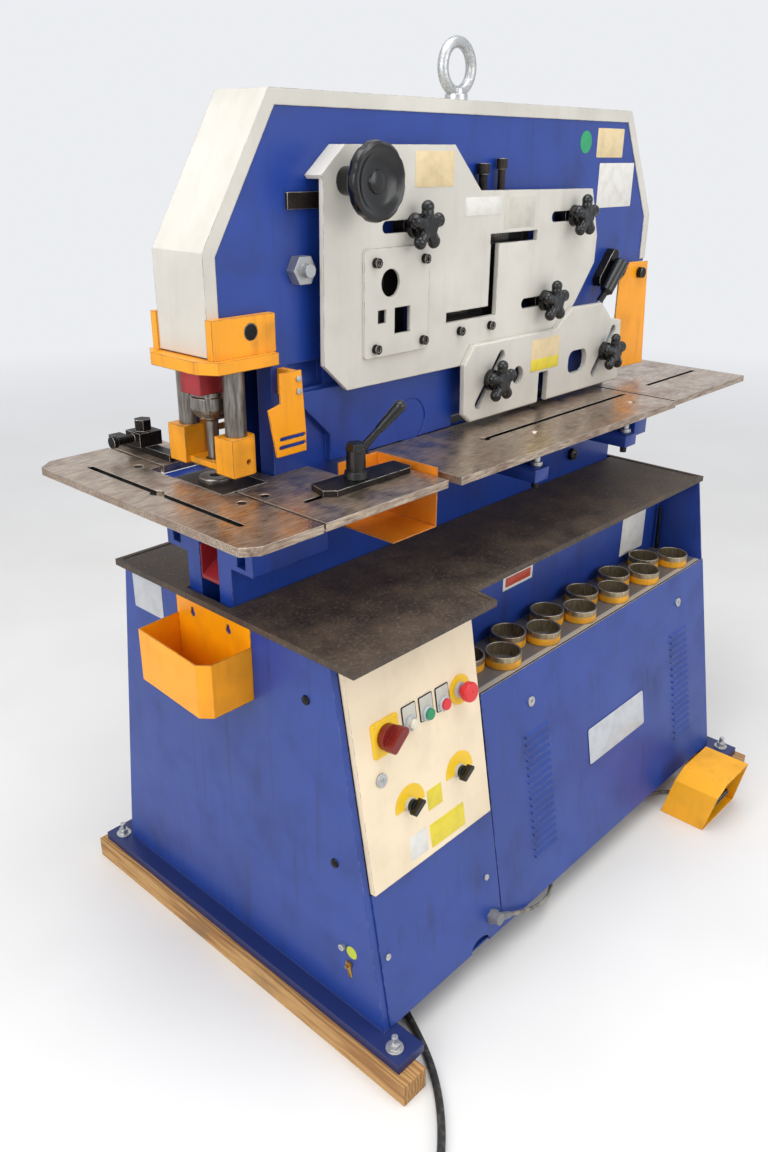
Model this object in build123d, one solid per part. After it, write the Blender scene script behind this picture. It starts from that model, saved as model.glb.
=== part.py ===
from build123d import *
from math import atan, cos, degrees, pi, radians, sin, sqrt, tan
import os

# Ironworker machine: a hydraulic punch, section shear, bar shear and notcher on one welded cabinet.
# Millimetres, +Z up, +X from the punch end to the notching end, -Y the side the operator stands at.
# The sizes are written about the middle of the frame plates; the origin is moved at the end
# to the middle of the machine's footprint, on the floor.

# General fits
RUN = 0.05
GAP = 0.3
SHEET = 3.0

# Timber bearers and the welded foot bars
BEARER_W = 59.0
BEARER_H = 49.0
BEARER_Y0 = -564.0
BEARER_Y1 = 442.0
BEARER_INSET = 49.0
FOOT_W = 70.0
FOOT_T = 20.0
FOOT_Y0 = -538.0
FOOT_Y1 = 426.0
FOOT_OUT = 36.0
STUD_D = 12.0
STUD_EDGE = 25.0
STUD_END = 34.0
STUD_TOP = 30.0
STUD_WASHER_D = 34.0
STUD_NUT_AF = 19.0

# Cabinet: a trapezoid in section, open at the top front right as a tool recess
CAB_L = -681.0
CAB_R = 665.0
CAB_Z0 = BEARER_H + FOOT_T
FRONT_Y0 = -467.0
FRONT_Y1 = -333.0
BACK_Y0 = 373.0
BACK_Y1 = 267.0
DECK_Z = 825.0
DECK_T = 8.0
DECK_OVER = 11.0
DECK_FRONT_L = -402.0
DECK_FRONT_R = -336.0
DECK_BACK = 283.0
BAY_X = -307.0
MAT_T = 4.0
MAT_RIM = 8.0
RECESS_BACK = -230.0
RECESS_Z = 610.0
PANEL_GAP = 2.0
PAN_Z = CAB_Z0

# Front and lower panels
PANEL_Z0 = 70.0
PANEL_TOP = 610.0
LOWER_TOP = 359.0
LOUVRE_W = 86.0
LOUVRE_N = 17
LOUVRE_PITCH = 18.0
LOUVRE_Z0 = 166.0
LOUVRE_X = (-130.0, 515.0)
LOUVRE_OUT = 5.0
LOCK_XZ = ((-143.0, 530.0), (516.0, 537.0))
LOCK_D = 22.0
BADGE_W = 248.0
BADGE_H = 86.0
BADGE_X = 192.0
BADGE_Z = 327.0

# Tool holder rings in the recess
RING_OD = 78.0
RING_WALL = 4.0
RING_H = 30.0
RING_N = 6
RING_PITCH = 149.0
RING_FRONT = (-165.0, -325.0)
RING_BACK = (-233.0, -280.0)
SHELF_T = 3.0

# Control door on the sloping front, hinged at its right edge
DOOR_L = -665.0
DOOR_R = -320.0
DOOR_Z0 = 362.0
DOOR_Z1 = 799.0
DOOR_OUT = 12.0
DOOR_SKIN = 2.0
HINGE_Z = (455.0, 712.0)
HINGE_D = 8.0
HINGE_PIN_D = 4.0
HINGE_HALF = 10.0
HINGE_LONG = 24.0
SWITCH_XZ = (-588.0, 648.0)
SWITCH_PLATE = 68.0
SWITCH_KNOB_D = 50.0
LAMP_XZ = (-522.0, 645.0)
GREEN_XZ = (-475.0, 645.0)
RED_XZ = (-428.0, 645.0)
BUTTON_D = 22.0
BEZEL_D = 30.0
BEZEL_H = 9.0
BUTTON_OUT = 5.0
LEGEND_W = 38.0
LEGEND_H = 50.0
STOP_XZ = (-377.0, 653.0)
STOP_DISC_D = 60.0
STOP_D = 40.0
STOP_NECK_D = 24.0
KEY_XZ = (-612.0, 572.0)
KEY_D = 26.0
SELECT_XZ = ((-547.0, 491.0), (-402.0, 492.0))
SELECT_D = 29.0
SELECT_ARC_R = 40.0
SPINDLE_D = 8.0

# Electrical tray behind the door
TRAY_Y0 = -318.0
TRAY_Y1 = -222.0
TRAY_Z0 = 392.0
TRAY_Z1 = 780.0
TRAY_R = -322.0

# Main frame: two plates with a gap for the beam
PLATE_T = 38.0
PLATE_GAP = 55.0
FACE = PLATE_GAP / 2 + PLATE_T
FRAME_L = -667.0
FRAME_R = 650.0
FRAME_Z0 = 300.0
TABLE_TOP = 1056.0
TABLE_T = 15.0
TABLE_BOT = TABLE_TOP - TABLE_T
THROAT_X = -554.0
HEAD_Z = 1284.5
NOTCH_X = 548.0
NOTCH_TOP = 1345.0
HEAD_L = -684.0
HEAD_R = 728.0
HEAD_TOP = 1689.0
HEAD_SHOULDER_Z = 1450.0
HEAD_TOP_L = -536.0
HEAD_TOP_R = 592.0
COVER_T = 3.0
COVER_FLANGE = 22.0
COVER_LIP = 2.0
SLOT_Z0 = 855.0
SLOT_Z1 = 1030.0
EYE_X = 15.0
EYE_OD = 110.0
EYE_BAR = 22.0
EYE_TOP = 1809.0
PIVOT_X = -195.0
PIVOT_Z = 1095.0
PIVOT_D = 90.0
PIVOT_BORE = 90.1
APRON_T = 14.0

# Beam, ram, cylinder
BEAM_T = 54.0
PUNCH_X = -638.0
RAM_HALF = 44.0
RAM_Z0 = 1217.0
RAM_Z1 = 1300.0
BUTTON_R = 22.0
BUTTON_TOP = 1330.0
BEAM_TIP_Z = 1331.0
CYL_X = 430.0
CYL_D = 120.0
CYL_Z0 = 580.0
CYL_Z1 = 800.0
ROD_D = 50.0
ROD_TOP = 989.4
ROD_BOT = 640.0
BEAM_LOW = 990.0
CYL_WIN = 70.0

# Punch station
NUT_D = 72.0
NUT_Z0 = 1173.0
PUNCH_D = 22.0
PUNCH_TIP_Z = TABLE_TOP + 28
DIE_D = 60.0
DIE_TOP = TABLE_TOP + 6
DIE_BORE = 22.6
DIE_H = 32.0
BRIDGE_X0 = -712.0
BRIDGE_X1 = -560.0
BRIDGE_Y = 96.0
BRIDGE_Z0 = 1263.0
BRIDGE_T = 21.0
BRACKET_X0 = -690.0
BRACKET_X1 = -555.0
BRACKET_T = 16.0
BRACKET_TOP = 1349.0
COLUMN_D = 38.0
COLUMN_Y = 66.0
COLUMN_BOT = TABLE_TOP + 54
STRIP_Z0 = TABLE_TOP + 25
STRIP_TOP = TABLE_TOP + 92
STRIP_HALF = 30.0
STRIP_IN = 43.0
STRIP_OUT = 92.0
STRIP_BAR_T = 12.0
STRIP_HOLE = 30.0

# Die block and tables
BLOCK_X0 = -688.0
BLOCK_X1 = -590.0
BLOCK_Y0 = -84.0
BLOCK_Y1 = 56.0
BLOCK_H = 45.0
OPEN_Y1 = 130.0
TABLE_CLEAR = 2.0
LTAB_X0 = -825.0
LTAB_X1 = -667.0
LTAB_Y0 = -313.0
LTAB_Y1 = 307.0
RTAB_X0 = -660.0
RTAB_X1 = -352.0
RTAB_Y0 = -311.0
LONG_X0 = -324.0
LONG_X1 = 497.0
LONG_Y0 = -320.0
END_X0 = 508.0
END_X1 = 900.0
END_Y0 = -311.0
END_Y1 = 110.0
TSLOT_W = 12.0
LSLOT_X = -761.0
RSLOT_Y = -212.0
GAUGE_X = -627.0
CLAMP_XY = (-485.0, -206.0)
CLAMP_Z0 = TABLE_TOP + 12 + 2 * GAP
LEVEL_Y = -232.0
LEVEL_X = (49.0, 427.0)
BRACKET_LONG = (75.0, 485.0)
TABLE_SCREWS = ((-696.0, 160.0), (-692.0, -139.0), (-641.0, -139.0), (-580.0, 210.0))
CHUTE_X0 = -463.0
CHUTE_X1 = -343.0
CHUTE_Y0 = -278.0
CHUTE_Y1 = -125.0
CHUTE_Z0 = TABLE_TOP - 102
CHUTE_Z1 = TABLE_TOP + 14
CHUTE_T = 2.5

# Shear cover, hold-down plate, knobs
COVER_Y1 = -95.5
COVER_PLATE_T = 10.0
COVER_Y0 = COVER_Y1 - COVER_PLATE_T
HOLD_T = 13.0
HOLD_Y1 = COVER_Y0 - GAP
HOLD_Y0 = HOLD_Y1 - HOLD_T
KNOB_BORE = 16.0
KNOB_R = 45.0
KNOB_CORE = 22.0
KNOB_LOBES = 5
KNOB_T = 20.0
KNOB_REACH = 42.0
WHEEL_XZ = (-404.0, 1554.0)
WHEEL_R = 64.0
WHEEL_OUT = 84.0
WHEEL_T = 22.0
K1 = (-225.0, 1474.5)
K2 = (317.0, 1472.0)
K3 = (222.0, 1297.0)
K4 = (17.0, 1152.0)
K5 = (480.0, 1152.0)
SLOT_RUN = 76.0
GUIDE_T = 5.0

# Sheet guards
GUARD_T = 3.0
PUNCH_GUARD_Y = -113.0
NOTCH_GUARD_Y = -93.0
NOTCH_PIVOT = (662.0, 1323.0)
NOTCH_SCREW_D = 16.0
NOTCH_HUB = -FACE - GAP

# Slug bin
BIN_Y0 = -130.5
BIN_Y1 = 90.5
BIN_OUT = 111.0
BIN_Z0 = 663.0
BIN_Z1 = 772.0
BIN_BACK_TOP = 812.0
BIN_T = 2.5

# Foot pedal
PEDAL_X0 = 383.0
PEDAL_X1 = 565.0
PEDAL_Y0 = -602.0
PEDAL_Y1 = -484.0
PEDAL_H = 142.0
PEDAL_LEAN = 32.0
PEDAL_T = 3.0
TREADLE_PIVOT = (-506.0, 34.0)

# Cords
MAINS_D = 15.0
MAINS_ROUTE = (
    (-470.0, -215.0, 56.0), (-492.0, -262.0, 34.0), (-520.0, -312.0, 14.0), (-546.0, -366.0, 8.5),
    (-571.0, -422.0, 8.0), (-596.0, -476.0, 8.0), (-624.0, -531.0, 8.0), (-661.0, -584.0, 8.0),
    (-704.0, -630.0, 8.0), (-750.0, -669.0, 8.0), (-800.0, -702.0, 8.0), (-852.0, -728.0, 8.0),
    (-905.0, -752.0, 8.0),
)
COIL_MEAN_R = 82.5
COIL_TURNS_WIDE = 2
COIL_Z0 = 0.5
PLUG_R = 30.0
PLUG_TAIL_R = 11.0
PEDAL_CORD_D = 8.5
PEDAL_ROUTE = (
    (-298.0, -477.0, 104.0), (-258.0, -479.0, 85.0), (-214.0, -480.0, 66.0), (-170.0, -478.0, 51.0),
    (-126.0, -468.0, 38.0), (-86.0, -448.0, 24.0), (-44.0, -428.0, 11.0), (6.0, -416.0, 4.8),
    (58.0, -410.0, 4.6), (112.0, -408.0, 4.6), (166.0, -410.0, 4.6), (220.0, -415.0, 4.6),
    (274.0, -419.0, 4.6), (328.0, -418.0, 4.6), (380.0, -420.0, 4.6), (428.0, -432.0, 4.6),
    (462.0, -458.0, 8.0), (474.0, -491.0, 14.0),
)
GLAND_D = 24.0
GLAND_XZ = (-340.0, 119.0)
GLAND_OUT = 26.0
GLAND_REACH = 46.0

SLOPE = atan((FRONT_Y1 - FRONT_Y0) / (DECK_Z - CAB_Z0))
BACK_SLOPE = (BACK_Y1 - BACK_Y0) / (DECK_Z - CAB_Z0)


def box(x0, x1, y0, y1, z0, z1):
    """Block between two corners."""
    at = Pos((x0 + x1) / 2, (y0 + y1) / 2, (z0 + z1) / 2)
    return at * Box(x1 - x0, y1 - y0, z1 - z0)


def in_xz(y_back):
    """Plane facing the operator, its axes along X and Z."""
    return Plane(origin=(0, y_back, 0), x_dir=(1, 0, 0), z_dir=(0, -1, 0))


def plate_xz(points, y0, y1, radius=0.0):
    """Plate of constant thickness seen from the front."""
    outline = Polygon(*points, align=None)
    if radius:
        outline = fillet(outline.vertices(), radius)
    return extrude(in_xz(y1) * outline, y1 - y0, dir=(0, -1, 0))


def plate_xy(points, z0, z1, radius=0.0):
    """Plate of constant thickness seen from above."""
    outline = Polygon(*points, align=None)
    if radius:
        outline = fillet(outline.vertices(), radius)
    return extrude(Plane.XY.offset(z0) * outline, z1 - z0, dir=(0, 0, 1))


def plate_yz(points, x0, x1):
    """Plate of constant thickness seen from the end."""
    plane = Plane(origin=(x0, 0, 0), x_dir=(0, 1, 0), z_dir=(1, 0, 0))
    return extrude(plane * Polygon(*points, align=None), x1 - x0, dir=(1, 0, 0))


def round_y(x, z, dia, y0, y1):
    """Cylinder along Y."""
    return extrude(in_xz(y1) * Pos(x, z) * Circle(dia / 2), y1 - y0)


def round_z(x, y, dia, z0, z1):
    """Upright cylinder."""
    return Pos(x, y, (z0 + z1) / 2) * Cylinder(dia / 2, z1 - z0)


def round_x(y, z, dia, x0, x1):
    """Cylinder along X."""
    return Pos((x0 + x1) / 2, y, z) * Rot(0, 90, 0) * Cylinder(dia / 2, x1 - x0)


def slot_xz(a, b, width, y0, y1):
    """Round-ended slot between two points of the XZ plane."""
    run = sqrt((b[0] - a[0]) ** 2 + (b[1] - a[1]) ** 2)
    turn = degrees(atan((b[1] - a[1]) / (b[0] - a[0]))) if b[0] != a[0] else 90.0
    shape = Rot(0, 0, turn) * SlotCenterToCenter(run, width)
    return extrude(in_xz(y1) * Pos((a[0] + b[0]) / 2, (a[1] + b[1]) / 2) * shape, y1 - y0)


def slot_along(x0, x1, y0, y1, z0, z1):
    """Round-ended slot through a table, along its longer side."""
    wide = min(x1 - x0, y1 - y0)
    run = max(x1 - x0, y1 - y0) - wide
    turn = 0 if x1 - x0 > y1 - y0 else 90
    shape = Pos((x0 + x1) / 2, (y0 + y1) / 2) * Rot(0, 0, turn) * SlotCenterToCenter(run, wide)
    return extrude(Plane.XY.offset(z0) * shape, z1 - z0)


def slope_y(z):
    """Y of the cabinet's sloping front at a height."""
    return FRONT_Y0 + (z - CAB_Z0) * tan(SLOPE)


def front(x, z, out=0.0):
    """Plane on the sloping front, facing out, a distance off it."""
    n = (0, -cos(SLOPE), sin(SLOPE))
    base = (x, slope_y(z) + n[1] * out, z + n[2] * out)
    return Plane(origin=base, x_dir=(1, 0, 0), z_dir=n)


def on_front(x, z, sketch, out0, out1):
    """A sketch standing off the sloping front between two distances."""
    return extrude(front(x, z, out0) * sketch, out1 - out0)


def back_y(z):
    """Y of the cabinet's sloping back at a height."""
    return BACK_Y0 + (z - CAB_Z0) * BACK_SLOPE


def cap_screw(x, z, y_face, dia, head):
    """Socket cap screw standing on a face that looks to the operator."""
    body = round_y(x, z, dia, y_face - head, y_face)
    socket = extrude(in_xz(y_face - head / 2) * Pos(x, z) * RegularPolygon(dia * 0.3, 6), head)
    return body - socket


def hex_z(x, y, across, z0, z1):
    """Upright hexagon of a width across flats."""
    shape = Pos(x, y) * RegularPolygon(across / sqrt(3), 6)
    return extrude(Plane.XY.offset(z0) * shape, z1 - z0)


# Timber bearers under the foot bars
def timber_bearers():
    left = CAB_L - BEARER_INSET
    right = CAB_R + BEARER_INSET
    a = box(left, left + BEARER_W, BEARER_Y0, BEARER_Y1, 0, BEARER_H)
    b = box(right - BEARER_W, right, BEARER_Y0, BEARER_Y1, 0, BEARER_H)
    return Compound(children=[a.solid(), b.solid()])


def stud_places():
    """Centres of the four levelling studs in the foot bars."""
    xs = (CAB_L - FOOT_OUT + STUD_EDGE, CAB_R + FOOT_OUT - STUD_EDGE)
    return [(x, y) for x in xs for y in (FOOT_Y0 + STUD_END, FOOT_Y1 - STUD_END)]


# Welded cabinet: foot bars, pan, end panels, back, deck, recess and corner posts
def section(inset=0.0, top=DECK_Z - DECK_T):
    """Outline of the cabinet from the end, the sheet's thickness inside if asked."""
    return [
        (FRONT_Y0 + inset, CAB_Z0), (slope_y(top) + inset, top),
        (back_y(top) - inset, top), (BACK_Y0 - inset, CAB_Z0),
    ]


def cabinet_shell():
    top = DECK_Z - DECK_T
    ends = plate_yz(section(), CAB_L, CAB_L + SHEET) + plate_yz(section(), CAB_R - SHEET, CAB_R)
    back = plate_yz([
        (BACK_Y0 - SHEET, CAB_Z0), (back_y(top) - SHEET, top), (back_y(top), top), (BACK_Y0, CAB_Z0),
    ], CAB_L, CAB_R)
    pan = box(CAB_L, CAB_R, FRONT_Y0 + 2, BACK_Y0, PAN_Z, PAN_Z + SHEET)
    feet = box(CAB_L - FOOT_OUT, CAB_L - FOOT_OUT + FOOT_W, FOOT_Y0, FOOT_Y1, BEARER_H, CAB_Z0)
    feet += box(CAB_R + FOOT_OUT - FOOT_W, CAB_R + FOOT_OUT, FOOT_Y0, FOOT_Y1, BEARER_H, CAB_Z0)
    deck = plate_xy([
        (CAB_L - DECK_OVER, DECK_FRONT_L), (BAY_X - PANEL_GAP, DECK_FRONT_L),
        (BAY_X + 10, DECK_FRONT_R + 6), (BAY_X + 26, DECK_FRONT_R), (CAB_R + DECK_OVER, DECK_FRONT_R),
        (CAB_R + DECK_OVER, DECK_BACK), (CAB_L - DECK_OVER, DECK_BACK),
    ], top, DECK_Z)
    recess = box(BAY_X, CAB_R - SHEET, RECESS_BACK, RECESS_BACK + SHEET, RECESS_Z - SHEET, top)
    shelf_front = slope_y(RECESS_Z) + SHEET + 1
    recess += box(BAY_X, CAB_R - SHEET, shelf_front, RECESS_BACK + SHEET, RECESS_Z - SHELF_T, RECESS_Z)
    side = plate_yz([
        (slope_y(LOWER_TOP) + 20, LOWER_TOP), (slope_y(top) + 1, top), (RECESS_BACK + SHEET, top),
        (RECESS_BACK + SHEET, LOWER_TOP),
    ], BAY_X - SHEET, BAY_X)
    shell = ends + back + pan + feet + deck + recess + side
    shell += front_strip(CAB_L, DOOR_L - PANEL_GAP, CAB_Z0, top)
    shell += front_strip(CAB_L, DOOR_L + 25, CAB_Z0, LOWER_TOP)
    shell += front_strip(DOOR_R - 15, BAY_X + 15, CAB_Z0, LOWER_TOP)
    shell += front_strip(DOOR_R + PANEL_GAP, BAY_X, LOWER_TOP + PANEL_GAP, top)
    shell += front_strip(CAB_L, BAY_X, DOOR_Z1 + PANEL_GAP, top)
    slot = box(FRAME_L - 1, FRAME_R + 1, -FACE - GAP, FACE + GAP, top - 1, DECK_Z + 1)
    shell = shell - slot + mains_gland()
    for z in HINGE_Z:
        shell -= along_slope(z, HINGE_D + 2 * GAP, -HINGE_LONG - GAP, HINGE_LONG + GAP)
        shell += along_slope(z, HINGE_D, -HINGE_HALF, HINGE_HALF)
        shell += along_slope(z, HINGE_PIN_D, -HINGE_LONG, HINGE_LONG)
        shell += hinge_leaf(z)
    for x, y in stud_places():
        shell -= round_z(x, y, STUD_D + 4, BEARER_H - 1, CAB_Z0 + 1)
    return shell.solid()


def along_slope(z, dia, s0, s1):
    """Round bar on the door's hinge line, between two distances up the slope from a height."""
    up = Vector(0, sin(SLOPE), cos(SLOPE))
    start = front(DOOR_R + 1, z, GAP).origin + up * s0
    return extrude(Plane(origin=start, x_dir=(1, 0, 0), z_dir=up) * Circle(dia / 2), s1 - s0)


def hinge_leaf(z):
    """Leaf joining the fixed barrel to the strip beside the door."""
    return on_front(DOOR_R + 6, z, Rectangle(9, 2 * HINGE_HALF), -SHEET, 0)


def front_strip(x0, x1, z0, z1):
    """Strip of sheet lying in the sloping front."""
    middle = (z0 + z1) / 2
    tall = (z1 - z0) / cos(SLOPE)
    return on_front((x0 + x1) / 2, middle, Rectangle(x1 - x0, tall), -SHEET, 0)


def mains_gland():
    """Gland under the pan, pointing along the cord's first run."""
    start = Vector(*MAINS_ROUTE[0])
    away = (start - Vector(*MAINS_ROUTE[1])).normalized()
    plane = Plane(origin=start, z_dir=away)
    body = extrude(plane * Circle(12), 30)
    return body - box(-2000, 2000, -2000, 2000, PAN_Z + SHEET, 200)


# Deck mat: worn rubber on the deck, notched like it and cut round the frame
def deck_mat():
    r = MAT_RIM
    mat = plate_xy([
        (CAB_L - DECK_OVER + r, DECK_FRONT_L + r), (BAY_X - PANEL_GAP - r, DECK_FRONT_L + r),
        (BAY_X + 6, DECK_FRONT_R + 12), (BAY_X + 24, DECK_FRONT_R + r),
        (CAB_R + DECK_OVER - r, DECK_FRONT_R + r),
        (CAB_R + DECK_OVER - r, DECK_BACK - r), (CAB_L - DECK_OVER + r, DECK_BACK - r),
    ], DECK_Z, DECK_Z + MAT_T)
    return (mat - box(FRAME_L - r, FRAME_R + 60, -FACE - 2, FACE + 2, DECK_Z - 1, DECK_Z + MAT_T + 1)).solid()


# Front panel with two columns of pressed louvres and lock holes
def front_panel():
    x0 = BAY_X + PANEL_GAP
    z0 = PANEL_Z0
    z1 = PANEL_TOP
    tall = (z1 - z0) / cos(SLOPE)
    mid = (z0 + z1) / 2
    skin = on_front((x0 + CAB_R) / 2, mid, Rectangle(CAB_R - x0, tall), 0.2, 0.2 + SHEET)
    for cx in LOUVRE_X:
        for i in range(LOUVRE_N):
            z = LOUVRE_Z0 + LOUVRE_PITCH * i
            skin += louvre(cx, z)
    for x, z in LOCK_XZ:
        skin -= on_front(x, z, Circle(LOCK_D / 2 + 0.2), -1, SHEET + 2)
    badge = on_front(BADGE_X, BADGE_Z, RectangleRounded(BADGE_W, BADGE_H, 6), 0.2 + SHEET, 1.4 + SHEET)
    return (skin + badge).solid()


def louvre(x, z):
    """One pressed louvre: a shallow wedge standing off the panel, its lip down."""
    base = front(x, z, 0.2 + SHEET)
    plane = Plane(origin=base.origin - Vector(LOUVRE_W / 2, 0, 0), x_dir=base.z_dir, z_dir=(1, 0, 0))
    wedge = Polygon((-0.5, 0), (LOUVRE_OUT, -1), (LOUVRE_OUT, -2.4), (-0.5, -9), align=None)
    return extrude(plane * wedge, LOUVRE_W, dir=(1, 0, 0))


# Lower panel under the door, with the pedal cord's gland, its bottom edge knocked in
def lower_panel():
    x0 = CAB_L + 16
    x1 = BAY_X - PANEL_GAP / 2
    mid = (PANEL_Z0 + LOWER_TOP) / 2
    tall = (LOWER_TOP - PANEL_Z0) / cos(SLOPE)
    skin = on_front((x0 + x1) / 2, mid, Rectangle(x1 - x0, tall), 0.2, 0.2 + SHEET)
    dent = on_front(-384, PANEL_Z0 + 4, Pos(0, 0) * Ellipse(30, 17), -2, SHEET + 3)
    skin -= dent
    start = Vector(*PEDAL_ROUTE[0])
    away = (start - Vector(*PEDAL_ROUTE[1])).normalized()
    sleeve = extrude(Plane(origin=start, z_dir=away) * Circle(PEDAL_CORD_D / 2 + 2.5), GLAND_REACH)
    nut = on_front(GLAND_XZ[0], GLAND_XZ[1], RegularPolygon(GLAND_D / 2, 6), SHEET, GLAND_OUT)
    return (skin + nut + sleeve).solid()


# Twelve tool holder rings standing on the recess floor
def ring_places():
    rows = [(RING_FRONT[0] + RING_PITCH * i, RING_FRONT[1]) for i in range(RING_N)]
    return rows + [(RING_BACK[0] + RING_PITCH * i, RING_BACK[1]) for i in range(RING_N)]


def holder_rings():
    rings = []
    for x, y in ring_places():
        outer = round_z(x, y, RING_OD, RECESS_Z, RECESS_Z + RING_H)
        inner = round_z(x, y, RING_OD - 2 * RING_WALL, RECESS_Z - 1, RECESS_Z + RING_H + 1)
        rings.append((outer - inner).solid())
    return Compound(children=rings)


# Zinc plated hardware: studs with nuts, lifting eye, panel screws, levelling bolts, earth stud
def anchor_stud(x, y):
    stud = round_z(x, y, STUD_D, BEARER_H, CAB_Z0 + STUD_TOP)
    washer = round_z(x, y, STUD_WASHER_D, CAB_Z0, CAB_Z0 + 3)
    nut = hex_z(x, y, STUD_NUT_AF, CAB_Z0 + 3, CAB_Z0 + 14)
    return (stud + washer + nut).solid()


def lifting_eye():
    mean = (EYE_OD - EYE_BAR) / 2
    ring_z = EYE_TOP - EYE_OD / 2
    seat = HEAD_TOP + COVER_T
    ring = Pos(EYE_X, 0, ring_z) * Rot(90, 0, 0) * Torus(mean, EYE_BAR / 2)
    collar = round_z(EYE_X, 0, 46, seat, seat + 14) + Pos(EYE_X, 0, seat + 18) * Cylinder(16, 12)
    keep = round_y(EYE_X, ring_z, 2 * (mean - EYE_BAR / 2) - 0.5, -40, 40)
    shank = round_z(EYE_X, 0, 24, HEAD_TOP - 40, seat)
    return (ring + (collar - keep) + shank).solid()


def dome_screw(x, z):
    disc = on_front(x, z, Circle(6.5), 0.2 + SHEET, 4 + SHEET)
    return (disc - on_front(x, z, Rectangle(14, 1.6), 2.6 + SHEET, 5 + SHEET)).solid()


def level_bolt(x):
    shank = round_z(x, LEVEL_Y, 16, TABLE_BOT - 72, TABLE_BOT)
    return (shank + hex_z(x, LEVEL_Y, 24, TABLE_BOT - 20, TABLE_BOT - 9)).solid()


def zinc_hardware():
    pieces = [anchor_stud(x, y) for x, y in stud_places()]
    pieces.append(lifting_eye())
    pieces += [dome_screw(x, z) for x, z in ((-648.0, 220.0), (-346.0, 217.0))]
    pieces += [level_bolt(x) for x in LEVEL_X]
    earth = round_x(-360, 214, 14, CAB_L - 8, CAB_L)
    pieces.append(earth.solid())
    for z in (1238.0, 1216.0):
        pieces.append(round_y(-533, z, 11, PUNCH_GUARD_Y - 4, PUNCH_GUARD_Y).solid())
    return Compound(children=pieces)


# Frame plates
def plate_outline():
    return [
        (FRAME_L, FRAME_Z0), (FRAME_L, TABLE_BOT), (THROAT_X, TABLE_BOT), (THROAT_X, HEAD_Z - 32),
        (THROAT_X + 4, HEAD_Z - 32), (THROAT_X + 4, HEAD_Z), (HEAD_L, HEAD_Z), (HEAD_L, HEAD_SHOULDER_Z),
        (HEAD_TOP_L, HEAD_TOP), (HEAD_TOP_R, HEAD_TOP), (HEAD_R, HEAD_SHOULDER_Z + 8), (HEAD_R, NOTCH_TOP),
        (NOTCH_X, NOTCH_TOP), (NOTCH_X, TABLE_BOT), (FRAME_R, TABLE_BOT), (FRAME_R, FRAME_Z0),
    ]


def shear_windows(y0, y1, grow=0.0):
    """Openings that the stock passes through: round, square and flat bar, section and strip."""
    g = grow
    w = round_y(-294, 1378, 50 + 2 * g, y0, y1)
    w += box(-328 - g, -306 + g, y0, y1, 1307 - g, 1331 + g)
    w += box(-282 - g, -238 + g, y0, y1, 1284 - g, 1332 + g)
    w += z_window(y0, y1, g)
    w += box(-60 - g, 330 + g, y0, y1, TABLE_TOP + 4 - g, TABLE_TOP + 22 + g)
    return w


def z_window(y0, y1, g=0.0):
    """The section shear's Z-shaped opening."""
    w = box(12 - g, 178 + g, y0, y1, 1428 - g, 1448 + g)
    w += box(14 - g, 42 + g, y0, y1, 1305 - g - 1, 1449 + g - 1)
    return w + box(-123 - g, 42 + g, y0, y1, 1285 - g, 1305 + g)


def frame_plate(y0, y1):
    plate = plate_xz(plate_outline(), y0, y1)
    plate -= shear_windows(y0 - 1, y1 + 1, 3)
    plate -= box(CYL_X - CYL_WIN, CYL_X + CYL_WIN, y0 - 1, y1 + 1, CYL_Z0 - 20, CYL_Z1 + 12)
    return plate


def die_pocket():
    """Seat milled into the frame's nose for the die block."""
    c = GAP
    return box(BLOCK_X0 - c, BLOCK_X1 + c, BLOCK_Y0 - c, BLOCK_Y1 + c, TABLE_TOP - BLOCK_H, TABLE_TOP)


def wing(sign):
    """Hollow box welded on a plate's end face, carrying the punch tables."""
    y_in = sign * FACE
    y_out = sign * (FACE + 61)
    y0, y1 = min(y_in, y_out), max(y_in, y_out)
    body = box(FRAME_L, -480, y0, y1, 904, TABLE_BOT)
    hole_y = (y0 + y1) / 2
    return body - box(FRAME_L - 1, -486, hole_y - 12, hole_y + 12, 914, 938)


def front_frame_plate():
    plate = frame_plate(-FACE, -PLATE_GAP / 2)
    plate += wing(-1)
    for x in BRACKET_LONG:
        plate += table_bracket(x)
    apron = plate_xz([
        (-519, 1200), (-425, 1110), (-425, TABLE_TOP + 2), (560, TABLE_TOP + 2), (560, 1120), (410, 1200),
    ], -FACE - APRON_T, -FACE)
    plate += apron - shear_windows(-FACE - 20, -FACE + 1, 3)
    plate -= round_y(PIVOT_X, PIVOT_Z, PIVOT_BORE, -FACE - 20, 0)
    plate += slot_xz(NOTCH_PIVOT, (NOTCH_PIVOT[0], NOTCH_TOP + 30), 44, -FACE, -PLATE_GAP / 2)
    pocket = plate_xz([(-516, 1252), (-428, 1252), (-428, 1204), (-516, 1204)], -FACE - 1, -FACE + 16)
    return (plate - pocket - die_pocket()).solid()


def table_bracket(x):
    """Gusseted arm under the long table, drilled for its levelling bolt."""
    arm = box(x - 28, x + 28, LEVEL_Y - 18, -FACE, TABLE_BOT - 34, TABLE_BOT - 20)
    web = plate_yz([
        (LEVEL_Y - 6, TABLE_BOT - 34), (-FACE, TABLE_BOT - 34), (-FACE, TABLE_BOT - 118),
    ], x + 14, x + 28)
    arm += web
    level = min(LEVEL_X, key=lambda v: abs(v - x))
    pad_l, pad_r = min(level, x) - 20, max(level, x) + 20
    arm += box(pad_l, pad_r, LEVEL_Y - 18, LEVEL_Y + 18, TABLE_BOT - 34, TABLE_BOT - 20)
    return arm - round_z(level, LEVEL_Y, 16 + 2 * RUN, TABLE_BOT - 120, TABLE_BOT - 10)


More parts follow.
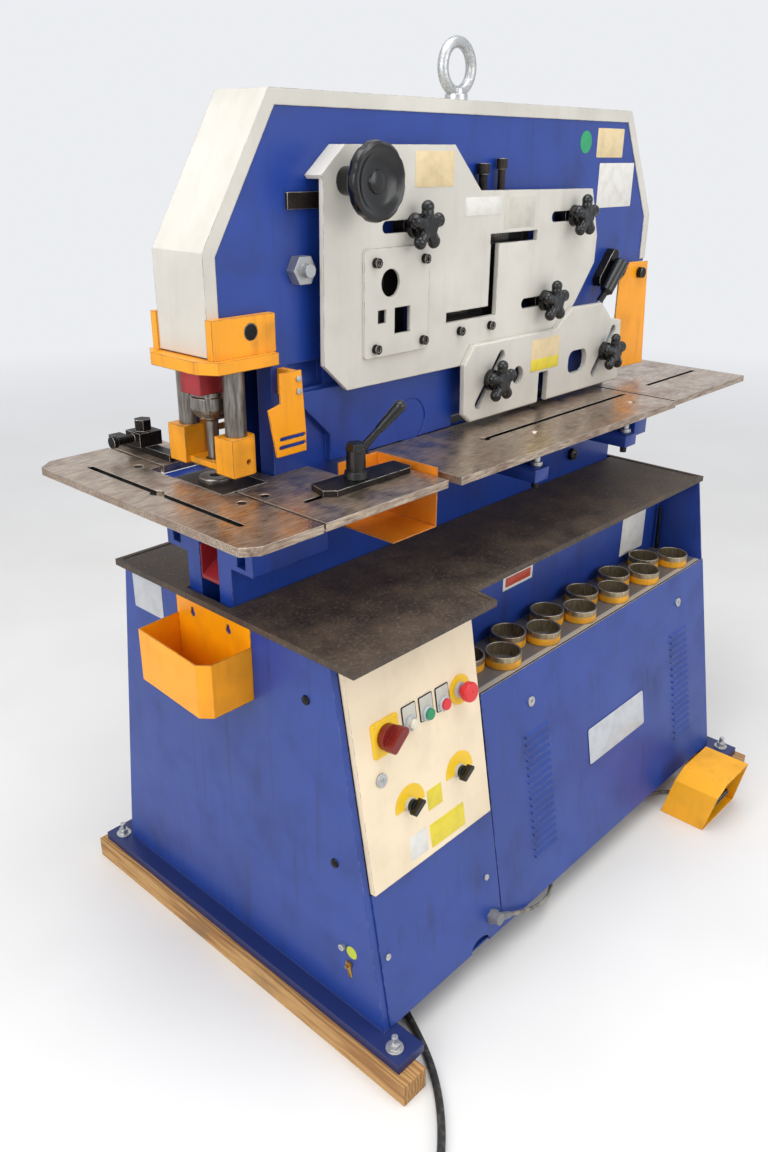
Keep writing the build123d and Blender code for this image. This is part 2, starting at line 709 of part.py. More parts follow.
def back_frame_plate():
    inner = PLATE_GAP / 2
    plate = frame_plate(inner, FACE) + wing(1)
    plate += box(HEAD_TOP_L + 30, HEAD_TOP_R - 60, -inner, inner, HEAD_TOP - 34, HEAD_TOP)
    plate += box(FRAME_R - 40, FRAME_R, -inner, inner, 700, TABLE_BOT - 4)
    plate += box(FRAME_L, FRAME_R, -inner, inner, FRAME_Z0, FRAME_Z0 + 80)
    barrel = round_z(CYL_X, 0, CYL_D, CYL_Z0 + 4, CYL_Z1)
    barrel -= round_z(CYL_X, 0, ROD_D + 2 * RUN, ROD_BOT - 6, CYL_Z1 + 1)
    column = box(CYL_X - 40, CYL_X + 40, -inner, inner, FRAME_Z0, CYL_Z0 + 10)
    plate += barrel + column
    pin = round_y(PIVOT_X, PIVOT_Z, PIVOT_D, -FACE - 12, FACE)
    plate += pin
    eye_hole = round_z(EYE_X, 0, 24.4, HEAD_TOP - 41, HEAD_TOP + 1)
    return (plate - eye_hole - die_pocket()).solid()


# Folded cover over the head: a strip round the frame's end and top, with lips over both faces
def head_cover():
    t = COVER_T
    y = FACE + COVER_LIP
    low_l = HEAD_Z + 2
    low_r = NOTCH_TOP + 6
    outer = [
        (HEAD_L - t, low_l), (HEAD_L - t, HEAD_SHOULDER_Z + 1), (HEAD_TOP_L - 1.5, HEAD_TOP + t),
        (HEAD_TOP_R + 1.5, HEAD_TOP + t), (HEAD_R + t, HEAD_SHOULDER_Z + 9), (HEAD_R + t, low_r),
    ]
    f = COVER_FLANGE
    inner = [
        (HEAD_R - f, low_r), (HEAD_R - f, HEAD_SHOULDER_Z + 3), (HEAD_TOP_R - 10, HEAD_TOP - f),
        (HEAD_TOP_L + 10, HEAD_TOP - f), (HEAD_L + f, HEAD_SHOULDER_Z - 6), (HEAD_L + f, low_l),
    ]
    band = plate_xz(outer + inner, -y, y)
    hollow = plate_xz([
        (HEAD_L, low_l - 10), (HEAD_L, HEAD_SHOULDER_Z), (HEAD_TOP_L, HEAD_TOP), (HEAD_TOP_R, HEAD_TOP),
        (HEAD_R, HEAD_SHOULDER_Z + 8), (HEAD_R, low_l - 10),
    ], -FACE, FACE)
    return (band - hollow - round_z(EYE_X, 0, 25, HEAD_TOP - 1, HEAD_TOP + 9)).solid()


# Beam between the plates, pivoted on the pin
def rocker_beam():
    y = BEAM_T / 2 - GAP
    body = plate_xz([
        (-656, BEAM_TIP_Z), (-540, BEAM_TIP_Z), (-500, 1262), (-320, 1010), (-120, 1000), (300, BEAM_LOW),
        (500, BEAM_LOW), (536, 1060), (536, 1420), (380, 1560), (-470, 1590), (-658, 1430),
    ], -y, y)
    body -= round_y(PIVOT_X, PIVOT_Z, PIVOT_D + 2 * RUN, -y - 1, y + 1)
    return (body - shear_windows(-y - 1, y + 1, 6)).solid()


# Ram guided between the plates and in the bridge, with a domed thrust button on top
def punch_ram():
    half_y = PLATE_GAP / 2 - GAP
    block = box(PUNCH_X - RAM_HALF, PUNCH_X + RAM_HALF, -half_y, half_y, RAM_Z0, RAM_Z1)
    block = chamfer(block.edges().filter_by(Axis.Z), 3)
    stem = round_z(PUNCH_X, 0, 2 * BUTTON_R, RAM_Z1, BUTTON_TOP)
    dome_r = 80.0
    dome = Pos(PUNCH_X, 0, BUTTON_TOP - dome_r) * Sphere(dome_r)
    return (block + (stem & dome)).solid()


def punch():
    """Coupling nut, punch body and tip, turned in one line."""
    half = NUT_D / 2
    tip = PUNCH_D / 2
    profile = Polygon(
        (0, RAM_Z0), (half - 4, RAM_Z0), (half - 4, RAM_Z0 - 7), (half, RAM_Z0 - 9), (half, NUT_Z0 + 14),
        (half - 3, NUT_Z0 + 8), (half - 9, NUT_Z0), (tip + 3, NUT_Z0), (tip + 3, NUT_Z0 - 6),
        (tip, NUT_Z0 - 10), (tip, PUNCH_TIP_Z), (0, PUNCH_TIP_Z), align=None)
    turned = revolve(Plane.XZ * profile, Axis.Z)
    body = Pos(PUNCH_X, 0, 0) * turned
    for turn in (45, 135, 225, 315):
        bite = Rot(0, 0, turn) * Pos(half, 0, NUT_Z0 + 26) * Box(7, 9, 22)
        body -= Pos(PUNCH_X, 0, 0) * bite
    return body.solid()


def cylinder_rod():
    dome_r = 90.0
    rod = round_z(CYL_X, 0, ROD_D, ROD_BOT, ROD_TOP)
    return (rod & (Pos(CYL_X, 0, ROD_TOP - dome_r) * Sphere(dome_r) + box(
        CYL_X - 60, CYL_X + 60, -60, 60, ROD_BOT - 1, ROD_TOP - 40))).solid()


# Bridge that holds the stripper columns, with a bracket on each face of the frame
def punch_bridge():
    top = BRIDGE_Z0 + BRIDGE_T
    plate = plate_xy([
        (BRIDGE_X0, -BRIDGE_Y + 34), (BRIDGE_X0 + 22, -BRIDGE_Y), (BRIDGE_X1, -BRIDGE_Y),
        (BRIDGE_X1, BRIDGE_Y), (BRIDGE_X0 + 22, BRIDGE_Y), (BRIDGE_X0, BRIDGE_Y - 34),
    ], BRIDGE_Z0, top)
    clear = RAM_HALF + GAP
    plate -= box(PUNCH_X - clear, PUNCH_X + clear, -PLATE_GAP / 2, PLATE_GAP / 2, BRIDGE_Z0 - 1, top + 1)
    inside = FACE + COVER_LIP
    for side in (-1, 1):
        y0 = min(side * inside, side * (inside + BRACKET_T))
        bracket = box(BRACKET_X0, BRACKET_X1, y0, y0 + BRACKET_T, top, BRACKET_TOP)
        bracket -= round_y(-609, 1323, 29, y0 - 1, y0 + BRACKET_T + 1)
        plate += bracket
        plate -= round_z(PUNCH_X, side * COLUMN_Y, COLUMN_D - 8, BRIDGE_Z0 - 1, top + 1)
    return plate.solid()


def guide_columns():
    made = []
    for side in (-1, 1):
        y = side * COLUMN_Y
        column = round_z(PUNCH_X, y, COLUMN_D, COLUMN_BOT, BRIDGE_Z0)
        column += round_z(PUNCH_X, y, COLUMN_D - 8, BRIDGE_Z0, BRIDGE_Z0 + BRIDGE_T - 3)
        made.append(column.solid())
    return Compound(children=made)


# Stripper: a bar under the punch with a block on each column
def stripper():
    low = STRIP_Z0 + 2
    bar = box(PUNCH_X - 22, PUNCH_X + 22, -STRIP_IN - 4, STRIP_IN + 4, low, low + STRIP_BAR_T)
    bar -= round_z(PUNCH_X, 0, STRIP_HOLE, STRIP_Z0 - 1, STRIP_Z0 + 30)
    for side in (-1, 1):
        y0 = min(side * STRIP_IN, side * STRIP_OUT)
        y1 = max(side * STRIP_IN, side * STRIP_OUT)
        block = box(PUNCH_X - STRIP_HALF, PUNCH_X + STRIP_HALF, y0, y1, STRIP_Z0, STRIP_TOP)
        block = fillet(block.edges().filter_by(Axis.Z).sort_by(Axis.X)[-2:], 20)
        block -= round_z(PUNCH_X, side * COLUMN_Y, COLUMN_D + 2 * RUN, STRIP_Z0 - 1, STRIP_TOP + 1)
        block -= round_y(PUNCH_X + 4, STRIP_Z0 + 24, 9, side * 120 - 60, side * 120 + 60)
        bar += block
    return bar.solid()


# Die in its holder
def die_block():
    body = box(BLOCK_X0, BLOCK_X1, BLOCK_Y0, BLOCK_Y1, TABLE_TOP - BLOCK_H, TABLE_TOP)
    body -= round_z(PUNCH_X, 0, DIE_D + 2 * RUN, DIE_TOP - DIE_H, TABLE_TOP + 1)
    body -= round_z(PUNCH_X, 0, DIE_D - 16, TABLE_TOP - 50, TABLE_TOP)
    notch = round_y(PUNCH_X - 34, TABLE_TOP - 18, 10, BLOCK_Y0 - 1, BLOCK_Y0 + 12)
    return (body - notch).solid()


def die():
    body = round_z(PUNCH_X, 0, DIE_D, DIE_TOP - DIE_H, DIE_TOP)
    body = chamfer(body.edges().sort_by(Axis.Z)[-1], 2)
    return (body - round_z(PUNCH_X, 0, DIE_BORE, DIE_TOP - DIE_H - 1, DIE_TOP + 1)).solid()


# Tables
def table_opening():
    """Room for the die block, with clear air behind it."""
    c = TABLE_CLEAR
    return box(BLOCK_X0 - c, BLOCK_X1 + c, BLOCK_Y0 - c, OPEN_Y1, TABLE_BOT - 1, TABLE_TOP + 1)


def punch_table_left():
    table = plate_xy([
        (LTAB_X0 + 28, LTAB_Y0), (LTAB_X1, LTAB_Y0), (LTAB_X1, LTAB_Y1), (LTAB_X0 + 30, LTAB_Y1),
        (LTAB_X0, LTAB_Y1 - 24), (LTAB_X0, LTAB_Y0 + 20),
    ], TABLE_BOT, TABLE_TOP)
    table -= table_opening()
    table -= slot_along(LSLOT_X - TSLOT_W / 2, LSLOT_X + TSLOT_W / 2, -226, 224, TABLE_BOT - 1, TABLE_TOP + 1)
    table -= round_z(LSLOT_X, 6, 26, TABLE_BOT - 1, TABLE_TOP + 1)
    for x, y in TABLE_SCREWS[:2]:
        table -= countersink(x, y)
    return table.solid()


def punch_table_right():
    y_back = -FACE - GAP
    x_throat = THROAT_X - 6
    table = plate_xy([
        (RTAB_X0, RTAB_Y0), (RTAB_X1, RTAB_Y0), (RTAB_X1, -178), (-472, -178), (-472, y_back),
        (x_throat, y_back), (x_throat, LTAB_Y1), (RTAB_X0, LTAB_Y1),
    ], TABLE_BOT, TABLE_TOP)
    table -= table_opening()
    half = TSLOT_W / 2
    table -= slot_along(-617, -360, RSLOT_Y - half, RSLOT_Y + half, TABLE_BOT - 1, TABLE_TOP + 1)
    table -= slot_along(GAUGE_X - TSLOT_W / 2, GAUGE_X + TSLOT_W / 2, 150, 290, TABLE_BOT - 1, TABLE_TOP + 1)
    for x, y in TABLE_SCREWS[2:]:
        table -= countersink(x, y)
    return table.solid()


def countersink(x, y):
    hole = round_z(x, y, 11, TABLE_BOT - 1, TABLE_TOP + 1)
    return hole + Pos(x, y, TABLE_TOP - 2.5) * Cone(5.5, 10.5, 5)


def long_table():
    table = box(LONG_X0, LONG_X1, LONG_Y0, -FACE - APRON_T - GAP, TABLE_BOT, TABLE_TOP)
    table -= slot_along(-96, 479, -197, -185, TABLE_BOT - 1, TABLE_TOP + 1)
    table -= round_z(-88, -191, 24, TABLE_BOT - 1, TABLE_TOP + 1)
    for x, y in ((28, -236), (412, -246)):
        table -= countersink(x, y)
    return table.solid()


def end_table():
    table = box(END_X0, END_X1, END_Y0, END_Y1, TABLE_BOT, TABLE_TOP)
    table -= box(END_X0 - 1, NOTCH_X + 8, -FACE - APRON_T - GAP, END_Y1 + 1, TABLE_BOT - 1, TABLE_TOP + 1)
    table -= box(600, 668, -FACE + 24, 40, TABLE_BOT - 1, TABLE_TOP + 1)
    table -= slot_along(604, 867, -188, -176, TABLE_BOT - 1, TABLE_TOP + 1)
    return table.solid()


# Orange chute that carries the cut pieces away under the right table
def cutoff_chute():
    t = CHUTE_T
    body = box(CHUTE_X0, CHUTE_X1, CHUTE_Y0, CHUTE_Y1, CHUTE_Z0, CHUTE_Z0 + t)
    body += box(CHUTE_X1 - t, CHUTE_X1, CHUTE_Y0, CHUTE_Y1, CHUTE_Z0, CHUTE_Z1)
    body += box(CHUTE_X0 + 12, CHUTE_X1, CHUTE_Y1 - t, CHUTE_Y1, CHUTE_Z0, CHUTE_Z1)
    body -= box(CHUTE_X1 - 60, CHUTE_X1 - 22, CHUTE_Y1 - 10, CHUTE_Y1 + 5, CHUTE_Z0 + 22, CHUTE_Z0 + 62)
    body += box(CHUTE_X0 + 12, CHUTE_X0 + 30, CHUTE_Y1 - t, -FACE, CHUTE_Z0, CHUTE_Z0 + t)
    body += box(CHUTE_X1 - 40, CHUTE_X1 - 20, CHUTE_Y1 - t, -FACE, CHUTE_Z0, CHUTE_Z0 + t)
    return body.solid()


# Punch guards: a stepped plate at each side of the punch, flanged to the frame
def punch_guard():
    made = []
    t = GUARD_T
    for side in (-1, 1):
        y0 = min(side * abs(PUNCH_GUARD_Y), side * (abs(PUNCH_GUARD_Y) - t))
        face = plate_xz([
            (-575, 1252), (-525, 1252), (-517, 1142), (-517, 1106), (-587, 1106), (-603, 1193), (-575, 1200),
        ], y0, y0 + t)
        face -= slot_xz((-576, 1137), (-522, 1137), 7, y0 - 1, y0 + t + 1)
        face -= slot_xz((-578, 1122), (-522, 1122), 7, y0 - 1, y0 + t + 1)
        ya = min(side * FACE, side * abs(PUNCH_GUARD_Y))
        flange = box(-540, -525, ya, ya + abs(PUNCH_GUARD_Y) - FACE, 1204, 1250)
        made.append((face + flange).solid())
    return Compound(children=made)


# Shear cover: the big cream plate that slides in front of the shear, on three knobs
def shear_cover():
    plate = plate_xz([
        (-405, 1611), (-112, 1613), (-26, 1531), (387, 1527), (423, 1425), (421, 1365), (349, 1278),
        (300, 1236), (-61, 1192), (-404, 1195), (-462, 1247), (-458, 1561),
    ], COVER_Y0, COVER_Y1)
    tab = plate_xz([(-463, 1563), (-405, 1611), (-400, 1607), (-458, 1557)], COVER_Y0, -FACE - GAP)
    plate += tab
    for x, z in (K1, K2, K3):
        plate -= slot_xz((x - SLOT_RUN, z), (x, z), KNOB_BORE + 6, COVER_Y0 - 1, COVER_Y1 + 1)
    plate -= z_window(COVER_Y0 - 1, COVER_Y1 + 1)
    plate -= box(-336, -230, COVER_Y0 - 1, COVER_Y1 + 1, 1276, 1404)
    plate -= round_y(WHEEL_XZ[0], WHEEL_XZ[1], 16 + 2 * RUN, COVER_Y0 - 1, COVER_Y1 + 1)
    return Compound(children=[plate.solid(), bar_guide_plate()])


def bar_guide_plate():
    y1 = COVER_Y0
    y0 = y1 - GUIDE_T
    outline = Pos(-274, 1342.5) * RectangleRounded(180, 195, 8)
    plate = extrude(in_xz(y1) * outline, GUIDE_T)
    plate -= round_y(-294, 1378, 50, y0 - 1, y1 + 1)
    plate -= box(-328, -306, y0 - 1, y1 + 1, 1307, 1331)
    return (plate - box(-282, -238, y0 - 1, y1 + 1, 1284, 1332)).solid()


# Dark hardware: cap screws, bridge screws, adjusting bolts and a stop arm
def face_bolt(x, z, across, reach):
    head = extrude(in_xz(-FACE) * Pos(x, z) * RegularPolygon(across / sqrt(3), 6), reach * 0.6)
    return (head + round_y(x, z, across * 0.5, -FACE - reach, -FACE)).solid()


def sleeve(x, z, y_face, y_plate):
    """Spacer round a knob's stud, from the frame's face to the plate that the knob clamps."""
    tube = round_y(x, z, 36, y_plate + GAP, y_face)
    return (tube - round_y(x, z, KNOB_BORE + 2 * RUN, y_plate, y_face + 1)).solid()


def black_hardware():
    pieces = [face_bolt(-484, 1412, 46, 34).solid()]
    for side in (-1, 1):
        y = side * (FACE + COVER_LIP + BRACKET_T)
        y0 = min(y, side * FACE)
        screw = round_y(-609, 1323, 28, y0, y0 + abs(y) - FACE)
        pieces.append(screw.solid())
    for x, z_top, dia in ((12.0, 1580.0, 30.0), (73.0, 1589.0, 26.0)):
        lug = box(x - 18, x + 18, -FACE - 26, -FACE, 1500, 1524)
        bolt = round_z(x, -FACE - 14, dia * 0.6, 1524, z_top - 20)
        head = round_z(x, -FACE - 14, dia - 4, z_top - 20, z_top)
        pieces.append((lug + bolt + head).solid())
    pieces.append(box(-508, -429, -FACE - 6, -FACE, 1510, 1537).solid())
    arm = slot_xz((502, 1317), (549, 1370), 32, -FACE - 22, -FACE)
    pieces.append(arm.solid())
    pieces += [sleeve(x, z, -FACE, COVER_Y1) for x, z in (K1, K2, K3)]
    pieces += [sleeve(x, z, -FACE - APRON_T, HOLD_Y1) for x, z in (K4, K5)]
    pieces.append(notch_screw().solid())
    for x, y in TABLE_SCREWS:
        screw = Pos(x, y, TABLE_TOP - 2.9) * Cone(5.2, 9.6, 4.6)
        pieces.append((screw + round_z(x, y, 10.4, TABLE_BOT + 1, TABLE_TOP - 4)).solid())
    return Compound(children=pieces)


def cover_screws():
    pieces = []
    for x, z in ((-335, 1416), (-200, 1415), (-335, 1262), (-201, 1263)):
        pieces.append(cap_screw(x, z, COVER_Y0 - GUIDE_T, 18, 10).solid())
    for x, z in ((-79, 1265), (23, 1265)):
        pieces.append(cap_screw(x, z, COVER_Y0, 18, 10).solid())
    return Compound(children=pieces)


# Lower hold-down plate with its two slanting slots
def hold_down_plate():
    plate = plate_xz([
        (-42, 1232), (-72, 1195), (-68, 1088), (-44, 1069), (566, 1070), (554, 1220), (507, 1228),
        (457, 1270), (327, 1272), (264, 1231),
    ], HOLD_Y0, HOLD_Y1)
    rim = plate.edges().filter_by(lambda e: e.center().Y < HOLD_Y0 + 0.1)
    plate = chamfer(rim, 3)
    plate -= box(203, 240, HOLD_Y0 - 1, HOLD_Y1 + 1, 1060, 1139)
    plate -= round_y(120, 1146, 40, HOLD_Y0 - 1, HOLD_Y1 + 1)
    window = Pos(363, 1143) * RectangleRounded(79, 54, 20)
    plate -= extrude(in_xz(HOLD_Y1 + 1) * window, HOLD_T + 2)
    for x, z in (K4, K5):
        plate -= slot_xz((x - 38, z - 47.5), (x + 38, z + 47.5), KNOB_BORE + 6, HOLD_Y0 - 1, HOLD_Y1 + 1)
    return plate.solid()


def star_knob(x, z, seat_y):
    """Five-lobed knob on a round base, with the stud that clamps a plate to the frame."""
    y_front = seat_y - KNOB_REACH
    base = round_y(x, z, 46, seat_y - 12, seat_y - GAP)
    neck = round_y(x, z, 32, y_front, seat_y - 12)
    star = Circle(KNOB_CORE)
    for i in range(KNOB_LOBES):
        turn = 360.0 / KNOB_LOBES * i + 18
        arm = Rot(0, 0, turn) * Pos((KNOB_R - 9) / 2, 0) * Rectangle(KNOB_R - 9, 16)
        tip = Rot(0, 0, turn) * Pos(KNOB_R - 10, 0) * Circle(10)
        star += arm + tip
    head = extrude(in_xz(y_front) * Pos(x, z) * star, KNOB_T)
    stud = round_y(x, z, KNOB_BORE, seat_y - 12, -FACE - APRON_T - GAP if z < 1200 else -FACE - GAP)
    return (base + neck + head + stud).solid()


# Handwheel: dished, with nine shallow lobes, on a collar
def handwheel():
    x, z = WHEEL_XZ
    y_back = COVER_Y0 - WHEEL_OUT + WHEEL_T
    rim = Circle(WHEEL_R)
    for i in range(9):
        rim -= Rot(0, 0, 40 * i) * Pos(WHEEL_R + 4.5, 0) * Circle(9)
    wheel = extrude(in_xz(y_back) * Pos(x, z) * rim, WHEEL_T)
    dish = Cone(34, 47, 12)
    wheel -= Pos(x, y_back - WHEEL_T + 6, z) * Rot(90, 0, 0) * dish
    collar = round_y(x, z, 47, y_back, COVER_Y0 - GAP)
    spindle = round_y(x, z, 16, COVER_Y0 - GAP, COVER_Y1 + 14)
    return (wheel + collar + spindle).solid()


# Right yellow guard, hung on one screw
def notch_guard():
    y0 = NOTCH_GUARD_Y
    plate = plate_xz([
        (594, 1322), (614, 1351), (703, 1348), (732, 1085), (568, 1090), (568, 1306),
    ], y0, y0 + GUARD_T)
    hub = round_y(NOTCH_PIVOT[0], NOTCH_PIVOT[1], 34, y0 + GUARD_T, NOTCH_HUB)
    plate += hub
    x, z = NOTCH_PIVOT
    return (plate - round_y(x, z, NOTCH_SCREW_D + 2 * RUN, y0 - 1, NOTCH_HUB + 1)).solid()


def notch_screw():
    x, z = NOTCH_PIVOT
    head = round_y(x, z, 26, NOTCH_GUARD_Y - 14, NOTCH_GUARD_Y - GAP)
    return (head + round_y(x, z, NOTCH_SCREW_D, NOTCH_GUARD_Y - GAP, -FACE)).solid()


# Slug bin hung on the end panel
def slug_bin():
    x1 = CAB_L - GAP
    x0 = x1 - BIN_OUT
    back = box(x1 - BIN_T, x1, BIN_Y0, BIN_Y1, BIN_Z0, BIN_BACK_TOP)
    plan = [(x1, BIN_Y1), (x0 + 13, BIN_Y1 - 7), (x0, BIN_Y0 + 21), (x0 + 19, BIN_Y0), (x1, BIN_Y0)]
    t = BIN_T
    inner = [
        (x1 - t, BIN_Y1 - t), (x0 + 13 + t, BIN_Y1 - 7 - t), (x0 + t, BIN_Y0 + 21 + 1),
        (x0 + 19 + 1, BIN_Y0 + t), (x1 - t, BIN_Y0 + t),
    ]
    cup = plate_xy(plan, BIN_Z0, BIN_Z1) - plate_xy(inner, BIN_Z0 + t, BIN_Z1 + 1)
    for y in (40.0, -68.0):
        back -= round_x(y, 786, 14, x1 - 10, x1 + 5) + round_x(y, 795, 8, x1 - 10, x1 + 5)
    return (cup + back).solid()


# Red chute in the slot between the plates, falling towards the bin
def slug_chute():
    half = PLATE_GAP / 2 - GAP
    t = 2.5
    mouth = FRAME_L + 2
    side = [(mouth, SLOT_Z0 + 4), (mouth, SLOT_Z0 + 70), (-540, SLOT_Z1 - 10), (-540, SLOT_Z0 + 96)]
    body = plate_xz(side, -half, half)
    inner = [(p[0] + (0 if i in (2, 3) else -5), p[1] + t) for i, p in enumerate(side)]
    (x1, z1), (x2, z2), (x3, z3) = inner[1:]
    lifted = [inner[0], (x1, z1 + 5), (x2 + 5, z2 + 5), (x3 + 5, z3)]
    return (body - plate_xz(lifted, -half + t, half - t)).solid()


# Power pack: oil tank with motor and pump, standing on the pan
def power_pack():
    z0 = PAN_Z + SHEET
    tank = box(-480, 120, 90, 300, z0, z0 + 300)
    tank = fillet(tank.edges().filter_by(Axis.Z), 12)
    flange = box(-250, -90, 115, 275, z0 + 300, z0 + 312)
    motor = round_z(-170, 195, 150, z0 + 312, z0 + 540) + round_z(-170, 195, 156, z0 + 360, z0 + 372)
    valve = box(-20, 70, 150, 250, z0 + 300, z0 + 380)
    return (tank + flange + motor + valve).solid()


# Electrical tray behind the door
def electric_box():
    x0 = CAB_L + SHEET
    t = 1.5
    body = box(x0, TRAY_R, TRAY_Y0, TRAY_Y1, TRAY_Z0, TRAY_Z1)
    body -= box(x0 + t, TRAY_R - t, TRAY_Y0 - 1, TRAY_Y1 - t, TRAY_Z0 + t, TRAY_Z1 - t)
    rail_y = TRAY_Y1 - t
    for z in (500.0, 660.0):
        body += box(x0 + 30, TRAY_R - 30, rail_y - 8, rail_y, z - 17, z + 17)
        for i in range(5):
            x = x0 + 46 + 50 * i
            body += box(x, x + 44, rail_y - 56, rail_y - 8, z - 38, z + 38)
    return body.solid()


# Gauges on the punch tables
def gauge_bar_right():
    z0 = TABLE_TOP + GAP
    y0 = RSLOT_Y - 24
    bar = plate_xy([
        (-578, y0 + 18), (-560, y0), (-372, y0), (-362, y0 + 10), (-362, y0 + 52), (-470, y0 + 60),
        (-566, y0 + 60),
    ], z0, z0 + 12)
    key = box(-560, -520, RSLOT_Y - TSLOT_W / 2 + GAP, RSLOT_Y + TSLOT_W / 2 - GAP, TABLE_BOT + 1, z0)
    post = round_z(CLAMP_XY[0], CLAMP_XY[1], 14, z0 + 12, z0 + 70)
    return (bar + key + post).solid()


def clamp_lever():
    """Clamping handle: a barrel nut with a slanting arm."""
    x, y = CLAMP_XY
    barrel = round_z(x, y, 46, CLAMP_Z0, CLAMP_Z0 + 66)
    barrel = chamfer(barrel.edges().sort_by(Axis.Z)[-1], 6)
    arm_dir = Vector(59, -26, 62).normalized()
    arm = extrude(Plane(origin=Vector(x, y, CLAMP_Z0 + 48), z_dir=arm_dir) * Circle(8), 108)
    tip = extrude(Plane(origin=Vector(x, y, CLAMP_Z0 + 48) + arm_dir * 92, z_dir=arm_dir) * Circle(10), 24)
    body = barrel + arm + tip
    return (body - round_z(x, y, 14 + 2 * RUN, CLAMP_Z0 - 1, CLAMP_Z0 + 59)).solid()


def gauge_bar_left():
    z0 = TABLE_TOP + GAP
    bar = box(-640, -614, 138, 346, z0, z0 + 14)
    bar += box(GAUGE_X - TSLOT_W / 2 + GAP, GAUGE_X + TSLOT_W / 2 - GAP, 225, 251, TABLE_BOT + 1, z0 + 1)
    block = box(-652, -602, 214, 262, z0 + 14, z0 + 42)
    nut = hex_z(-627, 238, 30, z0 + 42, z0 + 64)
    side = round_x(238, z0 + 30, 16, -690, -652) + round_x(238, z0 + 30, 24, -700, -690)
    return (bar + block + nut + side).solid()


# Control door and what it carries
def control_door():
    mid_x = (DOOR_L + DOOR_R) / 2
    mid_z = (DOOR_Z0 + DOOR_Z1) / 2
    wide = DOOR_R - DOOR_L
    tall = (DOOR_Z1 - DOOR_Z0) / cos(SLOPE)
    door = on_front(mid_x, mid_z, RectangleRounded(wide, tall, 3), GAP, DOOR_OUT)
    hollow = Rectangle(wide - 2 * DOOR_SKIN, tall - 2 * DOOR_SKIN)
    pocket = on_front(mid_x, mid_z, hollow, GAP - 1, DOOR_OUT - DOOR_SKIN)
    door -= pocket
    holes = [(SWITCH_XZ, SPINDLE_D), (STOP_XZ, STOP_NECK_D - 6), (KEY_XZ, KEY_D - 6)]
    holes += [(at, BUTTON_D - 4) for at in (GREEN_XZ, RED_XZ)] + [(at, SPINDLE_D) for at in SELECT_XZ]
    for at, dia in holes:
        door -= on_front(at[0], at[1], Circle(dia / 2 + RUN), 0, DOOR_OUT + 1)
    for z in HINGE_Z:
        door -= along_slope(z, HINGE_D + 2 * GAP, -HINGE_HALF - GAP, HINGE_HALF + GAP)
        for s0, s1 in ((-HINGE_LONG, -HINGE_HALF - GAP), (HINGE_HALF + GAP, HINGE_LONG)):
            door += along_slope(z, HINGE_D, s0, s1)
        door -= along_slope(z, HINGE_PIN_D + 2 * RUN, -HINGE_LONG - 1, HINGE_LONG + 1)
    return door.solid()


def door_fittings():
    """Backing plates, legends, bezels and the lamp, all fixed on the door."""
    out = DOOR_OUT
    pieces = []
    plate = on_front(*SWITCH_XZ, RectangleRounded(SWITCH_PLATE, SWITCH_PLATE, 5), out, out + 5)
    plate -= on_front(*SWITCH_XZ, Circle(SPINDLE_D / 2 + RUN), out - 1, out + 9)
    pieces.append(plate.solid())
    disc = on_front(*STOP_XZ, Circle(STOP_DISC_D / 2), out, out + 2)
    disc += on_front(*STOP_XZ, Circle(STOP_NECK_D / 2 + 4), out + 2, out + 8)
    pieces.append((disc - on_front(*STOP_XZ, Circle(STOP_NECK_D / 2 - 3 + RUN), out - 1, out + 9)).solid())
    for at in (LAMP_XZ, GREEN_XZ, RED_XZ):
        legend = on_front(at[0], at[1] + 12, RectangleRounded(LEGEND_W, LEGEND_H, 3), out, out + 2)
        bezel = on_front(*at, Circle(BEZEL_D / 2), out + 2, out + BEZEL_H)
        made = legend + bezel
        if at == LAMP_XZ:
            made += on_front(*at, Circle(BUTTON_D / 2), out + BEZEL_H, out + BEZEL_H + 7)
        else:
            made -= on_front(*at, Circle(BUTTON_D / 2 + GAP), out + 3, out + BEZEL_H + 1)
            made -= on_front(*at, Circle(BUTTON_D / 2 - 2 + RUN), out - 1, out + 4)
        pieces.append(made.solid())
    for at in SELECT_XZ:
        arc = Circle(SELECT_ARC_R) - Circle(SELECT_D / 2 + 6)
        arc -= Pos(0, -SELECT_ARC_R) * Rectangle(100, SELECT_ARC_R * 2)
        ring = on_front(*at, arc, out, out + 1)
        collar = on_front(*at, Circle(SELECT_D / 2), out, out + 6)
        collar -= on_front(*at, Circle(SPINDLE_D / 2 + RUN), out - 1, out + 7)
        pieces.append(ring.solid())
        pieces.append(collar.solid())
    return Compound(children=pieces)


def main_switch():
    out = DOOR_OUT + 5 + GAP
    knob = on_front(*SWITCH_XZ, Circle(SWITCH_KNOB_D / 2), out, out + 14)
    bar = Rot(0, 0, 35) * RectangleRounded(SWITCH_KNOB_D + 4, 17, 8)
    grip = on_front(*SWITCH_XZ, bar, out + 14, out + 34)
    return (knob + grip + on_front(*SWITCH_XZ, Circle(SPINDLE_D / 2), 1, out)).solid()


def selector(at, turn):
    out = DOOR_OUT + 6 + GAP
    knob = on_front(*at, Circle(SELECT_D / 2 - 2), out, out + 6)
    grip = on_front(*at, Rot(0, 0, turn) * RectangleRounded(SELECT_D + 7, 9, 4), out + 6, out + 20)
    return (knob + grip + on_front(*at, Circle(SPINDLE_D / 2), 1, out)).solid()


def door_lock():
    out = DOOR_OUT + GAP
    body = on_front(*KEY_XZ, Circle(KEY_D / 2), out, out + 4)
    body -= on_front(*KEY_XZ, Rectangle(11, 3), out + 2, out + 5)
    shaft = on_front(*KEY_XZ, Circle(KEY_D / 2 - 3), -6, out)
    cam = on_front(KEY_XZ[0], KEY_XZ[1], Pos(0, -27) * Rectangle(12, 66), -8, -6)
    return (body + shaft + cam).solid()


